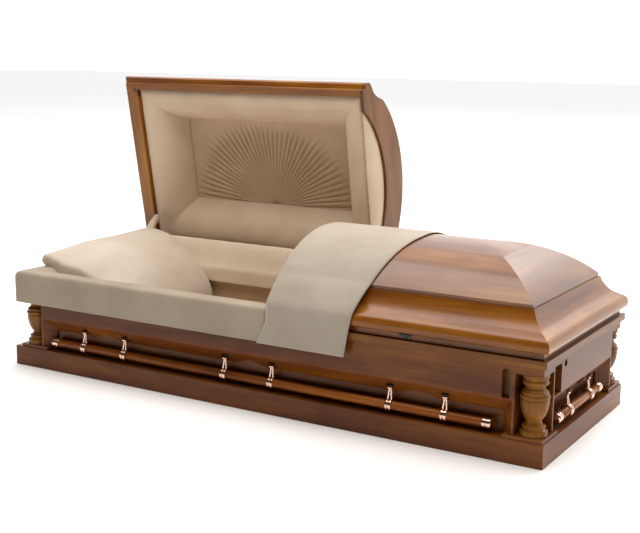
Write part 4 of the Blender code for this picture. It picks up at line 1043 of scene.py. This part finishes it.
# Throw
# A padded crepe panel, hemmed on all sides and laid over the foot lid next to the opening. It
# follows the crown and the bullnose, and hangs down over the front.
# Painted shade: the throw's tones are set darker than the other crepe, for the shade on its front drop.
throw_crepe = cream_crepe("throw_crepe", "#aba192", "#a29687", hollow=0.45, sheen=0.3)
throw_front = [(-0.3965, 0.2462), (-0.3965, 0.2760), (-0.3965, 0.3080), (-0.3962, 0.3330), (-0.3942, 0.3560)]
throw_front += [(-0.3925, 0.3780), (-0.3860, 0.3920), (-0.3700, 0.4120), (-0.3490, 0.4360), (-0.3280, 0.4560)]
arc = [(-a, b) for a, b in crown_arc(CROWN_RADIUS + 0.0015, 14)]
throw_line = throw_front + arc + [(-a, b) for a, b in reversed(arc[:-1])]
throw_line += [(0.3380, 0.4480), (0.3520, 0.4340)]
throw_line = [tuple(p) for p in flowing(throw_line, 3)]
THROW_EDGE, THROW_WIDTH, THROW_SPREAD, HEM_LAP, HEM_ROUND = 0.0975, 0.299, 0.097, 0.036, 0.004
run = [0.0]
for here, there in zip(throw_line, throw_line[1:]):
    run.append(run[-1] + math.dist(here, there))
throw_rows = []
for k, (y, z) in enumerate(throw_line):
    before, after = throw_line[max(k - 1, 0)], throw_line[min(k + 1, len(throw_line) - 1)]
    along = Vector((after[0] - before[0], after[1] - before[1])).normalized()
    out = Vector((-along.y, along.x))
    share = min(1.0, run[k] / 0.55)
    right = THROW_EDGE + THROW_WIDTH + THROW_SPREAD * share
    left = THROW_EDGE - HEM_LAP * max(0.0, 1.0 - run[k] / 0.076)
    hem = min(run[k], run[-1] - run[k]) / HEM_ROUND
    outer, inner = [], []
    for j in range(41):
        u = j / 40
        x = left + (right - left) * u
        side = min(u, 1 - u) * (right - left) / HEM_ROUND
        full = 0.0058 * math.sqrt(max(0.0, 1 - (1 - min(1.0, side, hem)) ** 2)) + 0.0002
        drift = 0.0009 * noise.noise(Vector((x * 9, run[k] * 6, 1.0)))
        lifted = max(0.0, drift) if full > 0.003 else 0.0
        middle = 0.0030
        top, under = middle + full / 2 + lifted, middle - full / 2
        outer.append((x, y + out.x * top, z + out.y * top))
        inner.append((x, y + out.x * under, z + out.y * under))
    throw_rows.append(outer + inner[::-1])
throw_mesh = grid("draped_throw", throw_rows, ring=True, caps="rows")
throw = fitted("draped_throw", throw_mesh, throw_crepe, "foot_lid", ["throw"])


# Stay cover
# A soft sleeve of the same crepe, gathered and slightly twisted, round the lid's folding stay.
# It runs from beside the pillow up to the corner of the open lid.
# Painted light and shade: the sleeve's tones are set for the light it gets beside the open lid.
stay_crepe = cream_crepe("stay_cover_crepe", "#d2c0aa", "#c6b29b", hollow=0.5)
STAY_WIDE, STAY_THIN, STAY_TWIST = 0.0150, 0.0110, 1.4
stay_points = [(-0.930, 0.246, 0.436), (-0.929, 0.270, 0.458), (-0.934, 0.300, 0.481), (-0.941, 0.334, 0.501)]
stay_line = flowing(stay_points, 8)
stay_rows = []
for k, p in enumerate(stay_line):
    t = k / (len(stay_line) - 1)
    row = []
    for j in range(20):
        angle = 2 * math.pi * j / 20
        pucker = 1 + 0.16 * math.cos(3 * angle + 7.0 * t)
        wide, thin = STAY_WIDE * pucker, STAY_THIN * pucker
        a, b = wide * math.cos(angle), thin * math.sin(angle)
        spin = STAY_TWIST * t
        u, v = a * math.cos(spin) - b * math.sin(spin), a * math.sin(spin) + b * math.cos(spin)
        row.append((p.x + u, p.y + v * 0.75, p.z - v * 0.66))
    stay_rows.append(row)
stay_mesh = grid("stay_sleeve", stay_rows, ring=True, caps="rows")
stay_mesh.materials.append(stay_crepe)
stay = bpy.data.objects.new("stay_sleeve", stay_mesh)
bpy.context.scene.collection.objects.link(stay)
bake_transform(stay)
